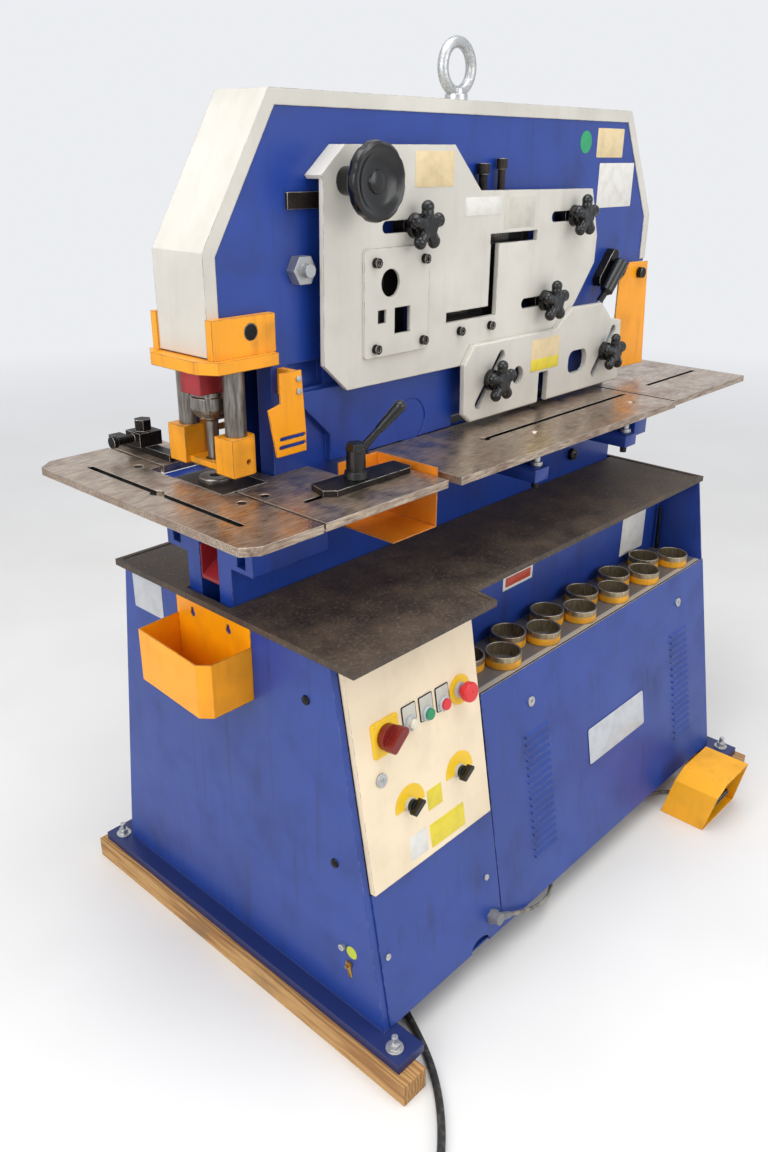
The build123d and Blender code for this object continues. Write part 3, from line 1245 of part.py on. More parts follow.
def push_button(at):
    out = DOOR_OUT + BEZEL_H
    cap = on_front(*at, Circle(BUTTON_D / 2), DOOR_OUT + 3 + BUTTON_OUT + GAP, out + 4)
    return (cap + on_front(*at, Circle(BUTTON_D / 2 - 2), -2, DOOR_OUT + 3 + BUTTON_OUT + GAP)).solid()


def emergency_stop():
    out = DOOR_OUT + 8
    head = on_front(*STOP_XZ, Circle(STOP_D / 2), out + 12, out + 26)
    head = fillet(head.edges().sort_by(lambda e: e.center().Y)[0], 5)
    neck = on_front(*STOP_XZ, Circle(STOP_NECK_D / 2 - 3), -4, out + 12)
    return (head + neck).solid()


def panel_lock(at):
    out = 0.2 + SHEET
    head = on_front(*at, Circle(LOCK_D / 2), out - SHEET, out + 4)
    head -= on_front(*at, RegularPolygon(5.5, 3), out + 1, out + 5)
    return head.solid()


# Foot pedal: bent guard with a cast treadle inside
def pedal_guard():
    x0, x1, t, h = PEDAL_X0, PEDAL_X1, PEDAL_T, PEDAL_H
    outer = [(x0, 0), (x0 + 4, h - 34), (x0 + 32, h), (x1 - 26, h), (x1, 0)]
    inner = [(x0 + t, t), (x0 + 4 + t, h - 34 - 1), (x0 + 32 + 1, h - t), (x1 - 26 - t, h - t), (x1 - t, t)]
    body = plate_xz(outer, PEDAL_Y0 - PEDAL_LEAN, PEDAL_Y1)
    body -= plate_xz(inner, PEDAL_Y0 - PEDAL_LEAN - 1, PEDAL_Y1 + 1)
    keep = plate_yz([
        (PEDAL_Y0, 0), (PEDAL_Y0 - PEDAL_LEAN, h), (PEDAL_Y1 - PEDAL_LEAN, h), (PEDAL_Y1, 0),
    ], x0 - 1, x1 + 1)
    body = body & keep
    py, pz = TREADLE_PIVOT
    for x in (x0 + 26, x1 - 34):
        body += box(x, x + 8, py - 9, py + 9, t, pz + 10)
        body -= round_x(py, pz, 8, x - 1, x + 9)
    end = PEDAL_ROUTE[-1]
    body += box(end[0] - 12, end[0] + 12, end[1] - 9, end[1] - 1.6, t, end[2] + 7)
    return body.solid()


def treadle():
    x0, x1 = PEDAL_X0 + 26 + 8 + 1, PEDAL_X1 - 34 - 1
    py, pz = TREADLE_PIVOT
    body = plate_yz([(py - 2, pz + 8), (py - 92, pz + 14), (py - 94, pz + 4), (py - 2, pz - 8)], x0, x1)
    for i in range(5):
        y = py - 20 - 15 * i
        body += box(x0 + 4, x1 - 4, y - 3, y + 3, pz + 6, pz + 17)
    pin = round_x(py, pz, 8 - 2 * RUN, PEDAL_X0 + 26, PEDAL_X1 - 26)
    return (body + round_x(py, pz, 20, x0, x1) + pin).solid()


# Cords: straight runs joined by tangent arcs
def cord_tube(points, dia):
    pts = [Vector(*p) for p in points]
    radii = []
    for a, b, c in zip(pts, pts[1:], pts[2:]):
        turn = radians((b - a).get_angle(c - b))
        radii.append(0.45 * min((b - a).length, (c - b).length) / tan(turn / 2))
    path = FilletPolyline(*pts, radius=radii)
    start = (pts[1] - pts[0]).normalized()
    tube = sweep(Plane(origin=pts[0], z_dir=start) * Circle(dia / 2), path=path)
    ideal = pi * dia * dia / 4 * path.length
    print("cord length", round(path.length), "volume ratio", round(tube.volume / ideal, 4))
    print("radii", [round(r) for r in radii])
    return tube.solid()


def coil_centre():
    """Middle of the coil, and the way the cord runs where it joins the coil's rim."""
    a = Vector(*MAINS_ROUTE[-2])
    b = Vector(*MAINS_ROUTE[-1])
    d = (b - a).normalized()
    side = Vector(-d.Y, d.X, 0)
    return b + side * COIL_MEAN_R, d


def mains_coil():
    """Outer shape of the coiled length, with a way in for the cord and a flat for the plug."""
    centre, d = coil_centre()
    half = MAINS_D * COIL_TURNS_WIDE / 2
    ring = round_z(centre.X, centre.Y, 2 * (COIL_MEAN_R + half), COIL_Z0, COIL_Z0 + 2 * MAINS_D)
    ring -= round_z(centre.X, centre.Y, 2 * (COIL_MEAN_R - half), 0, 2 * MAINS_D + 1)
    end = Vector(*MAINS_ROUTE[-1])
    along = Plane(origin=(end.X, end.Y, 0), x_dir=d, z_dir=(0, 0, 1))
    ring -= extrude(along * Pos(-50, -6) * Rectangle(100, 2 * MAINS_D), 60)
    flat = Plane(origin=(centre.X, centre.Y, 0), x_dir=d, z_dir=(0, 0, 1))
    ring -= extrude(flat * Pos(COIL_MEAN_R + half - 1.5 + 10, 0) * Rectangle(20, 80), 60)
    return ring.solid()


def mains_plug():
    """Five-pole plug lying on the floor, its cord end against the coil."""
    centre, d = coil_centre()
    reach = COIL_MEAN_R + MAINS_D * COIL_TURNS_WIDE / 2 - 1.5
    plane = Plane(origin=(centre.X + d.X * reach, centre.Y + d.Y * reach, PLUG_R + 0.5), z_dir=(d.X, d.Y, 0))
    tail = extrude(plane * Circle(PLUG_TAIL_R), 30)
    nut = extrude(plane.offset(24) * RegularPolygon(PLUG_TAIL_R + 7, 8), 18)
    body = extrude(plane.offset(40) * Circle(PLUG_R - 4), 42)
    collar = extrude(plane.offset(78) * (Circle(PLUG_R) - Circle(PLUG_R - 3)), 46)
    face = extrude(plane.offset(78) * Circle(PLUG_R - 2), 5)
    pins = plane.offset(80)
    plug = tail + nut + body + collar + face
    for i in range(5):
        turn = radians(72 * i)
        plug += extrude(pins * Pos(15 * cos(turn), 15 * sin(turn)) * Circle(2.5), 30)
    return plug.solid()


PARTS = {
    "timber_bearers": timber_bearers, "cabinet_shell": cabinet_shell, "front_panel": front_panel,
    "lower_panel": lower_panel, "deck_mat": deck_mat, "holder_rings": holder_rings,
    "zinc_hardware": zinc_hardware, "black_hardware": black_hardware, "slug_bin": slug_bin,
    "slug_chute": slug_chute, "front_frame_plate": front_frame_plate,
    "back_frame_plate": back_frame_plate, "head_cover": head_cover, "punch_bridge": punch_bridge,
    "guide_columns": guide_columns, "stripper": stripper, "die_block": die_block, "die": die,
    "punch_table_left": punch_table_left, "punch_table_right": punch_table_right,
    "long_table": long_table, "end_table": end_table, "cutoff_chute": cutoff_chute,
    "punch_guard": punch_guard, "shear_cover": shear_cover,
    "cover_screws": cover_screws, "rocker_beam": rocker_beam, "punch_ram": punch_ram, "punch": punch,
    "cylinder_rod": cylinder_rod, "power_pack": power_pack, "electric_box": electric_box,
    "gauge_bar_left": gauge_bar_left, "gauge_bar_right": gauge_bar_right, "clamp_lever": clamp_lever,
    "handwheel": handwheel, "hold_down_plate": hold_down_plate, "notch_guard": notch_guard,
    "control_door": control_door, "door_fittings": door_fittings,
    "main_switch": main_switch, "door_lock": door_lock, "emergency_stop": emergency_stop,
    "pedal_guard": pedal_guard, "treadle": treadle, "mains_coil": mains_coil, "mains_plug": mains_plug,
}


def build_all():
    made = {name: make() for name, make in PARTS.items()}
    for i, (x, z) in enumerate((K1, K2, K3)):
        made[f"star_knob_{i + 1}"] = star_knob(x, z, COVER_Y0)
    for i, (x, z) in enumerate((K4, K5)):
        made[f"star_knob_{i + 4}"] = star_knob(x, z, HOLD_Y0)
    made["selector_left"] = selector(SELECT_XZ[0], 30)
    made["selector_right"] = selector(SELECT_XZ[1], 30)
    made["button_green"] = push_button(GREEN_XZ)
    made["button_red"] = push_button(RED_XZ)
    made["panel_lock_left"] = panel_lock(LOCK_XZ[0])
    made["panel_lock_right"] = panel_lock(LOCK_XZ[1])
    made["mains_cable"] = cord_tube(MAINS_ROUTE, MAINS_D)
    made["pedal_cable"] = cord_tube(PEDAL_ROUTE, PEDAL_CORD_D)
    return made


# The origin is the middle of the footprint without the cords, on the floor
CENTRE_X = (LTAB_X0 + END_X1) / 2
CENTRE_Y = (PEDAL_Y0 - PEDAL_LEAN + BEARER_Y1) / 2


def main():
    os.makedirs("parts", exist_ok=True)
    for name, shape in build_all().items():
        export_step(Pos(-CENTRE_X, -CENTRE_Y, 0) * shape, f"parts/{name}.step")


main()
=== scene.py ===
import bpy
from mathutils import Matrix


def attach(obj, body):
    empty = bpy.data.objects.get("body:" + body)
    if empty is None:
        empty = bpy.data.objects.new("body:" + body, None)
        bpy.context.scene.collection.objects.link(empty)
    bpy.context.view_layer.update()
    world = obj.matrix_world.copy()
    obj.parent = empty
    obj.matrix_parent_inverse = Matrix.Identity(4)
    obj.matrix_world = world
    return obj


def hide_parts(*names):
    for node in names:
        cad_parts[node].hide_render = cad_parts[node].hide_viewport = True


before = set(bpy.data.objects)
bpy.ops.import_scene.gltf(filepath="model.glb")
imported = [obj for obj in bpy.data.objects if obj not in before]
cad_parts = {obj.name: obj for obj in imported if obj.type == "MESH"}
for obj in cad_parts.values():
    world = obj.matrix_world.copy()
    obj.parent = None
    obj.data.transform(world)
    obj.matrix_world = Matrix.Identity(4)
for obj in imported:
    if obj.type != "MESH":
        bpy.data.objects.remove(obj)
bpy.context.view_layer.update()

import math
import bmesh
import bpy
from mathutils import Matrix, Vector

scene = bpy.context.scene

# Camera: stands at the left front corner at head height, looking down on the machine.
# The lens and the angles were solved from the cabinet's and the tables' straight edges.
EYE = Vector((-1.6875, -1.2555, 1.6))
YAW, PITCH, ROLL = (math.radians(a) for a in (42.713, -23.904, 0.476))

look = Vector((math.cos(YAW) * math.cos(PITCH), math.sin(YAW) * math.cos(PITCH), math.sin(PITCH)))
level = Vector((math.sin(YAW), -math.cos(YAW), 0))
upright = level.cross(look)
right = level * math.cos(ROLL) + upright * math.sin(ROLL)
above = upright * math.cos(ROLL) - level * math.sin(ROLL)
camera = bpy.data.objects.new("camera", bpy.data.cameras.new("camera"))
camera.data.sensor_fit = "VERTICAL"
camera.data.sensor_height = 36
camera.data.lens = 29.93
camera.data.clip_end = 60
turned = Matrix((right, above, -look)).transposed().to_4x4()
camera.matrix_world = Matrix.Translation(EYE) @ turned
scene.collection.objects.link(camera)
scene.camera = camera


# Mains cable: five-core rubber cable, 15 mm thick, that comes out under the cabinet and
# lies over the floor. The length that isn't seen is wound into a coil, out of view.
def paint_value(hex_code):
    """Linear colour of an sRGB hex value."""
    parts = [int(hex_code[i:i + 2], 16) / 255 for i in (1, 3, 5)]
    return tuple(c / 12.92 if c <= 0.04045 else ((c + 0.055) / 1.055) ** 2.4 for c in parts) + (1.0,)


def node(mat, kind, links=(), **settings):
    """A node with its settings, and its inputs linked to sockets or set to values."""
    made = mat.node_tree.nodes.new(kind)
    for name, value in settings.items():
        setattr(made, name, value)
    for name, value in dict(links).items():
        socket = made.inputs[name]
        if isinstance(value, bpy.types.NodeSocket):
            mat.node_tree.links.new(value, socket)
        else:
            socket.default_value = value
    return made


def new_material(name):
    """A material with nothing in it but its shader, and that shader."""
    mat = bpy.data.materials.new(name)
    mat.use_nodes = True
    shader = mat.node_tree.nodes["Principled BSDF"]
    return mat, shader


def feed(mat, value, shader, name):
    """Links a value to one of the shader's inputs."""
    mat.node_tree.links.new(value, shader.inputs[name])


def ramp(mat, value, low, high):
    """Value spread from 0 at low to 1 at high."""
    return node(mat, "ShaderNodeMapRange", {"Value": value, "From Min": low, "From Max": high}).outputs["Result"]


def mixed(mat, share, first, second):
    """Two colours mixed by a share."""
    made = node(mat, "ShaderNodeMix", data_type="RGBA")
    for socket, value in ((made.inputs["Factor"], share), (made.inputs[6], first), (made.inputs[7], second)):
        if isinstance(value, bpy.types.NodeSocket):
            mat.node_tree.links.new(value, socket)
        else:
            socket.default_value = value
    return made.outputs[2]


def place_of(mat):
    """The machine's own coordinates."""
    return node(mat, "ShaderNodeTexCoord").outputs["Object"]


def noise(mat, where, scale, detail, rough=0.5):
    """A cloudy pattern, with its scale in patches for each metre."""
    links = {"Vector": where, "Scale": scale, "Detail": detail, "Roughness": rough}
    return node(mat, "ShaderNodeTexNoise", links).outputs["Fac"]


def product(mat, first, second):
    """Two values multiplied."""
    return node(mat, "ShaderNodeMath", {0: first, 1: second}, operation="MULTIPLY").outputs[0]


def cable_rubber():
    # Chloroprene rubber, extruded: matt black, with pale dust rubbed into it.
    mat, shader = new_material("chloroprene_rubber_sheath")
    where = place_of(mat)
    dust = noise(mat, where, 90.0, 5.0)
    colour = mixed(mat, ramp(mat, dust, 0.48, 0.8), paint_value("#1b1b1c"), paint_value("#5a5650"))
    feed(mat, colour, shader, "Base Color")
    shader.inputs["Roughness"].default_value = 0.62
    grain = noise(mat, where, 700.0, 2.0)
    bump = node(mat, "ShaderNodeBump", {"Strength": 0.25, "Distance": 0.0004, "Height": grain})
    feed(mat, bump.outputs["Normal"], shader, "Normal")
    return mat


def cord_curve(name, points, thick):
    """A round cord along one smooth NURBS line."""
    data = bpy.data.curves.new(name, "CURVE")
    data.dimensions = "3D"
    data.bevel_depth = thick / 2
    data.bevel_resolution = 6
    data.resolution_u = 10
    line = data.splines.new("NURBS")
    line.points.add(len(points) - 1)
    for spot, at in zip(line.points, points):
        spot.co = (*at, 1.0)
    line.order_u = 3
    line.use_endpoint_u = True
    data.use_fill_caps = True
    made = bpy.data.objects.new(name, data)
    scene.collection.objects.link(made)
    return made


MAINS_LINE = (
    (-0.5075, -0.119, 0.056), (-0.5295, -0.166, 0.034), (-0.5575, -0.216, 0.014), (-0.5835, -0.27, 0.0085),
    (-0.6085, -0.326, 0.008), (-0.6335, -0.38, 0.008), (-0.6615, -0.435, 0.008), (-0.6985, -0.488, 0.008),
    (-0.7415, -0.534, 0.008), (-0.7875, -0.573, 0.008), (-0.8375, -0.606, 0.008), (-0.891, -0.6286, 0.008),
    (-0.9456, -0.6492, 0.008),
)
MAINS_THICK = 0.015
COIL_LAPS = ((0.090, 0.075, 0.008, 0.008), (0.075, 0.075, 0.008, 0.023), (0.075, 0.090, 0.023, 0.023))
INTO_PLUG = (
    (-0.091, 0.030, 0.027), (-0.090, -0.004, 0.034), (-0.074, -0.040, 0.039), (-0.034, -0.060, 0.040),
    (0.012, -0.049, 0.040), (0.048, -0.020, 0.040), (0.074, -0.003, 0.037), (0.098, 0.0, 0.032),
    (0.116, 0.0, 0.0305),
)
run = Vector((-0.053, -0.024, 0)).normalized()
inward = Vector((-run.y, run.x, 0))
COIL_R = 0.0825
coil_middle = Vector((-0.9425, -0.656, 0)) + inward * COIL_R
mains_points = list(MAINS_LINE)


def beside_coil(along, across, high):
    """A place given from the coil's middle, along the cable's last run and across it."""
    return tuple(coil_middle + run * along + inward * across + Vector((0, 0, high)))


LAP_STEPS = 14
for wide, next_wide, high, next_high in COIL_LAPS:
    for step in range(1, LAP_STEPS + 1):
        late = max(0.0, (step - 11) / 3)
        turn = math.radians(-90 + 360 / LAP_STEPS * step)
        out = wide + (next_wide - wide) * late
        rise = high + (next_high - high) * late
        mains_points.append(beside_coil(out * math.cos(turn), out * math.sin(turn), rise))
LAST_LAP_R, LAST_LAP_UP = 0.090, 0.023
for step in range(1, 10):
    turn = math.radians(-90 + 360 / LAP_STEPS * step)
    mains_points.append(beside_coil(LAST_LAP_R * math.cos(turn), LAST_LAP_R * math.sin(turn), LAST_LAP_UP))
mains_points += [beside_coil(*place) for place in INTO_PLUG]
mains_cable = cord_curve("mains_cable_line", mains_points, MAINS_THICK)
mains_cable.data.materials.append(cable_rubber())
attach(mains_cable, "machine")
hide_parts("mains_cable", "mains_coil")


def settle(name, bm, mat, body, smooth=0.6):
    """Turns a bmesh into a finished piece that rides on a body."""
    bmesh.ops.remove_doubles(bm, verts=bm.verts, dist=1e-6)
    bmesh.ops.recalc_face_normals(bm, faces=bm.faces)
    data = bpy.data.meshes.new(name)
    bm.to_mesh(data)
    bm.free()
    made = bpy.data.objects.new(name, data)
    scene.collection.objects.link(made)
    if mat:
        data.materials.append(mat)
    if smooth:
        data.shade_smooth()
        data.set_sharp_from_angle(angle=smooth)
    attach(made, body)
    return made


def dress(name, mat):
    """Gives a CAD node its finish."""
    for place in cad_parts[name].material_slots:
        place.material = mat


def rod(bm, start, end, radius, sides=24, end_radius=None):
    """A round bar between two points."""
    start, end = Vector(start), Vector(end)
    turn = (end - start).to_track_quat("Z", "Y").to_matrix().to_4x4()
    place = Matrix.Translation((start + end) / 2) @ turn
    last = radius if end_radius is None else end_radius
    return bmesh.ops.create_cone(
        bm, cap_ends=True, segments=sides, radius1=radius, radius2=last, depth=(end - start).length, matrix=place)


# Mains plug: red five-pole plug moulded in polyamide, with a grey cap nut that grips the cable.
# It lies beside the coil.
def plug_polyamide():
    # Glass-filled polyamide: satin red, a little paler where it has scuffed along the floor.
    mat, shader = new_material("red_polyamide")
    where = place_of(mat)
    scuff = noise(mat, where, 60.0, 6.0)
    colour = mixed(mat, ramp(mat, scuff, 0.5, 0.9), paint_value("#b3161b"), paint_value("#8a4a44"))
    feed(mat, colour, shader, "Base Color")
    shader.inputs["Roughness"].default_value = 0.38
    return mat


dress("mains_plug", plug_polyamide())

# Pedal cable: light grey control cable, 8.5 mm thick. It leaves the lower panel through a
# gland, hangs to the floor and runs under the cabinet's front to the pedal.
def grey_sheath():
    # Plasticised PVC, extruded: satin grey, soiled where it lies on the floor.
    mat, shader = new_material("grey_pvc_sheath")
    where = place_of(mat)
    soil = noise(mat, where, 45.0, 6.0)
    colour = mixed(mat, ramp(mat, soil, 0.42, 0.7), paint_value("#8f8a80"), paint_value("#4b463e"))
    feed(mat, colour, shader, "Base Color")
    shader.inputs["Roughness"].default_value = 0.5
    return mat


PEDAL_THICK = 0.0085
PEDAL_LINE = (
    (-0.3355, -0.381, 0.104), (-0.2955, -0.383, 0.085), (-0.2515, -0.384, 0.066), (-0.2075, -0.382, 0.051),
    (-0.1635, -0.372, 0.038), (-0.1235, -0.352, 0.024), (-0.0815, -0.332, 0.011), (-0.0315, -0.32, 0.0048),
    (0.0205, -0.314, 0.0046), (0.0745, -0.312, 0.0046), (0.1285, -0.314, 0.0046), (0.1825, -0.319, 0.0046),
    (0.2365, -0.323, 0.0046), (0.2905, -0.322, 0.0046), (0.3425, -0.324, 0.0046), (0.3905, -0.336, 0.0046),
    (0.4245, -0.362, 0.008), (0.4365, -0.395, 0.014),
)
pedal_cable = cord_curve("pedal_cable_line", PEDAL_LINE, PEDAL_THICK)
pedal_cable.data.materials.append(grey_sheath())
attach(pedal_cable, "machine")
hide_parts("pedal_cable")


# Timber bearers: two sawn softwood battens that the machine stands on, loose under its feet.
# The grain runs along them, darker on the sawn ends, dusty on top.
def sawn_timber():
    # Spruce, rough sawn: growth rings 4 mm apart, fibres torn by the saw.
    mat, shader = new_material("sawn_spruce")
    place = place_of(mat)
    along = node(mat, "ShaderNodeMapping", {"Vector": place, "Scale": (1.0, 0.07, 1.0)}).outputs["Vector"]
    bend = noise(mat, along, 22.0, 3.0)
    ring = node(mat, "ShaderNodeTexWave", {
        "Vector": along, "Scale": 38.0, "Distortion": 7.0, "Detail": 3.0, "Detail Scale": 1.4,
    }, wave_type="RINGS", rings_direction="Y").outputs["Fac"]
    fibre = noise(mat, along, 420.0, 4.0)
    soil = noise(mat, place, 9.0, 5.0)
    colour = mixed(mat, ramp(mat, ring, 0.1, 0.95), paint_value("#bd935c"), paint_value("#94683a"))
    colour = mixed(mat, ramp(mat, fibre, 0.5, 0.9), colour, paint_value("#9a6b38"))
    colour = mixed(mat, ramp(mat, soil, 0.52, 0.85), colour, paint_value("#7d6548"))
    feed(mat, colour, shader, "Base Color")
    shader.inputs["Roughness"].default_value = 0.78
    height = node(mat, "ShaderNodeMath", {0: fibre, 1: bend}, operation="ADD").outputs[0]
    bump = node(mat, "ShaderNodeBump", {"Strength": 0.5, "Distance": 0.001, "Height": height})
    feed(mat, bump.outputs["Normal"], shader, "Normal")
    return mat


dress("timber_bearers", sawn_timber())


# Cabinet: folded and welded steel sheet, painted blue in the factory. The paint has a slight
# orange peel, is rubbed through on the edges and has dark oil runs below the deck.
def worn_edges(mat, reach, where, low, high):
    """Share of wear along the edges, broken up by a noise, and the softened normal."""
    soft = node(mat, "ShaderNodeBevel", {"Radius": reach}, samples=6).outputs["Normal"]
    true = node(mat, "ShaderNodeNewGeometry").outputs["Normal"]
    flat = node(mat, "ShaderNodeVectorMath", {0: soft, 1: true}, operation="DOT_PRODUCT").outputs["Value"]
    edge = node(mat, "ShaderNodeMapRange", {"Value": flat, "From Min": 0.995, "From Max": 0.86}).outputs["Result"]
    patch = noise(mat, where, 55.0, 6.0)
    return ramp(mat, product(mat, edge, patch), low, high), soft


def within(mat, where, low, high):
    """1 inside a box of the machine's own coordinates, 0 outside it."""
    parts = node(mat, "ShaderNodeSeparateXYZ", {"Vector": where}).outputs
    share = None
    for axis in range(3):
        middle, half = (low[axis] + high[axis]) / 2, (high[axis] - low[axis]) / 2
        near = node(mat, "ShaderNodeMath", {0: parts[axis], 1: middle, 2: half}, operation="COMPARE").outputs[0]
        share = near if share is None else product(mat, share, near)
    return share


def enamel(name, paint, under, soil, wear=(0.42, 0.5), gloss=0.34, spread=0.5, runs=0.3, reach=0.003, patches_and_painted_shade=()):
    # Stoved alkyd enamel on steel: orange peel 3 mm across, dull oily dust, chips down to primer.
    mat, shader = new_material(name)
    where = place_of(mat)
    cloud = noise(mat, where, 5.0, 4.0)
    base = paint_value(paint)
    deep = tuple(c * 0.82 for c in base[:3]) + (1.0,)
    colour = mixed(mat, ramp(mat, cloud, 0.35, 0.75), base, deep)
    thin = node(mat, "ShaderNodeMapping", {"Vector": where, "Scale": (1.0, 1.0, 0.09)}).outputs["Vector"]
    drip = noise(mat, thin, 42.0, 5.0)
    smear = noise(mat, where, 11.0, 7.0)
    for dirt in (product(mat, ramp(mat, drip, 0.56, 0.78), runs), product(mat, ramp(mat, smear, 0.5, 0.8), spread)):
        colour = mixed(mat, dirt, colour, paint_value(soil))
    worn, soft = worn_edges(mat, reach, where, *wear)
    rough = node(mat, "ShaderNodeMapRange", {"Value": smear, "To Min": gloss - 0.08, "To Max": gloss + 0.22})
    feed(mat, rough.outputs["Result"], shader, "Roughness")
    colour = mixed(mat, worn, colour, paint_value(under))
    # Listed boxes take a colour of their own: wear, dark parts, and near-black painted shade in the frame's
    # openings.
    for low, high, metal in patches_and_painted_shade:
        colour = mixed(mat, within(mat, where, low, high), colour, paint_value(metal))
    feed(mat, colour, shader, "Base Color")
    peel = noise(mat, where, 330.0, 2.0)
    bump = node(mat, "ShaderNodeBump", {"Strength": 0.12, "Distance": 0.0006, "Height": peel, "Normal": soft})
    feed(mat, bump.outputs["Normal"], shader, "Normal")
    return mat


# The recess floor is rubbed down to brown steel, and brighter along its front edge. The foot
# bars, in a band from 40 to 70 mm up, are coloured a darker blue.
CABINET_WEAR_AND_DARK_FOOT_BAND = (
    ((-0.9, -0.8, 0.04), (0.9, 0.8, 0.0696), "#16265c"),
    ((-0.341, -0.262, 0.6085), (0.6185, -0.136, 0.6115), "#5f5a58"),
    ((-0.341, -0.278, 0.6065), (0.6185, -0.2595, 0.6135), "#a39b8e"),
)
cabinet_blue = enamel("blue_cabinet_enamel", "#1f3e8f", "#6f82bb", "#131a33", (0.5, 0.62),
                      spread=0.34, runs=0.4, patches_and_painted_shade=CABINET_WEAR_AND_DARK_FOOT_BAND)
dress("cabinet_shell", cabinet_blue)
dress("front_panel", cabinet_blue)
dress("lower_panel", cabinet_blue)
dress("power_pack", cabinet_blue)

# Name plate: a blank aluminium plate in a raised frame, riveted to the front panel.
# Nothing is written on it.
FRONT_FOOT = -0.371
SLOPE = math.atan(134 / 756)
out_of_front = Vector((0, -math.cos(SLOPE), math.sin(SLOPE)))
up_front = Vector((0, math.sin(SLOPE), math.cos(SLOPE)))


def on_front(x, z, out=0.0):
    """Place on the cabinet's sloping front, millimetres from the middle of the frame plates."""
    y = FRONT_FOOT + (z - 69) / 1000 * math.tan(SLOPE)
    return Vector(((x - 37.5) / 1000, y, z / 1000)) + out_of_front * (out / 1000)


def front_place(x, z, out=0.0, turn=0.0):
    """Matrix that lays a piece's own XY plane on the sloping front."""
    base = Matrix((Vector((1, 0, 0)), up_front, out_of_front)).transposed().to_4x4()
    return Matrix.Translation(on_front(x, z, out)) @ base @ Matrix.Rotation(math.radians(turn), 4, "Z")


def soft_plate(bm, wide, tall, thick, corner, place, rim=0.0004):
    """A rounded plate standing on its own XY plane."""
    cube = bmesh.ops.create_cube(bm, size=1.0, matrix=Matrix.Diagonal((wide, tall, thick, 1.0)))
    verts = cube["verts"]
    own = [e for e in bm.edges if all(v in verts for v in e.verts)]
    posts = [e for e in own if abs(e.verts[0].co.z - e.verts[1].co.z) > thick * 0.9]
    made = bmesh.ops.bevel(bm, geom=posts, offset=corner, segments=4, profile=0.5, affect="EDGES", material=-1)
    whole = set(verts) | set(made["verts"])
    whole = {v for v in whole if v.is_valid}
    top = [e for e in bm.edges if all(v in whole for v in e.verts) and all(v.co.z > thick * 0.49 for v in e.verts)]
    if rim:
        more = bmesh.ops.bevel(bm, geom=top, offset=rim, segments=2, profile=0.5, affect="EDGES", material=-1)
        whole |= set(more["verts"])
    whole = [v for v in whole if v.is_valid]
    bmesh.ops.translate(bm, verts=whole, vec=(0, 0, thick / 2))
    bmesh.ops.transform(bm, verts=whole, matrix=place)


def bare_plate(name, face, rough=0.42):
    # Anodised aluminium or screen-printed film: smooth, with faint cloudy handling marks.
    mat, shader = new_material(name)
    where = place_of(mat)
    marks = noise(mat, where, 38.0, 5.0)
    base = paint_value(face)
    shade = tuple(c * 0.8 for c in base[:3]) + (1.0,)
    colour = mixed(mat, ramp(mat, marks, 0.45, 0.8), base, shade)
    feed(mat, colour, shader, "Base Color")
    shader.inputs["Roughness"].default_value = rough
    return mat


plate_grey = bare_plate("anodised_aluminium_plate", "#b9bcc0", 0.36)
bm = bmesh.new()
soft_plate(bm, 0.252, 0.09, 0.0011, 0.006, front_place(192, 327, 4.4))
soft_plate(bm, 0.236, 0.074, 0.0007, 0.004, front_place(192, 327, 5.4))
settle("name_plate", bm, plate_grey, "machine")


# End panel fittings: two blackened socket screws that hold the electrical tray, and the earth
# screw with its brass tag and a plain green disc, low on the panel.
def plain_metal(name, face, rough):
    # Cast or turned metal, unpainted: dulled by air and handling.
    mat, shader = new_material(name)
    where = place_of(mat)
    dull = noise(mat, where, 120.0, 6.0)
    base = paint_value(face)
    shade = tuple(c * 0.55 for c in base[:3]) + (1.0,)
    colour = mixed(mat, ramp(mat, dull, 0.4, 0.75), base, shade)
    feed(mat, colour, shader, "Base Color")
    shader.inputs["Metallic"].default_value = 0.85
    shader.inputs["Roughness"].default_value = rough
    return mat


brass = plain_metal("turned_brass", "#c79a45", 0.34)
blackened = plain_metal("blackened_screw_steel", "#2a2a2c", 0.4)
END_FACE = -0.7185
bm = bmesh.new()
for y, z in ((-0.178, 0.722), (-0.244, 0.4015)):
    rod(bm, (END_FACE, y, z), (END_FACE - 0.0035, y, z), 0.0095, 28, 0.0082)
    rod(bm, (END_FACE - 0.003, y, z), (END_FACE - 0.0045, y, z), 0.0048, 6)
settle("end_panel_screws", bm, blackened, "machine")
bm = bmesh.new()
tag = Matrix.Translation((END_FACE, -0.279, 0.166)) @ Matrix.Rotation(math.radians(-90), 4, "Z")
tag = tag @ Matrix.Rotation(math.radians(90), 4, "X") @ Matrix.Rotation(math.radians(14), 4, "Z")
soft_plate(bm, 0.011, 0.036, 0.0016, 0.004, tag, 0.0003)
rod(bm, (END_FACE - 0.001, -0.281, 0.180), (END_FACE - 0.0055, -0.281, 0.180), 0.0072, 6)
rod(bm, (END_FACE - 0.005, -0.281, 0.180), (END_FACE - 0.012, -0.281, 0.180), 0.0034, 20)
settle("earth_tag", bm, brass, "machine")
bm = bmesh.new()
rod(bm, (END_FACE, -0.286, 0.2115), (END_FACE - 0.0006, -0.286, 0.2115), 0.0135, 32)
settle("earth_disc", bm, bare_plate("green_yellow_film", "#b6c22a", 0.4), "machine")

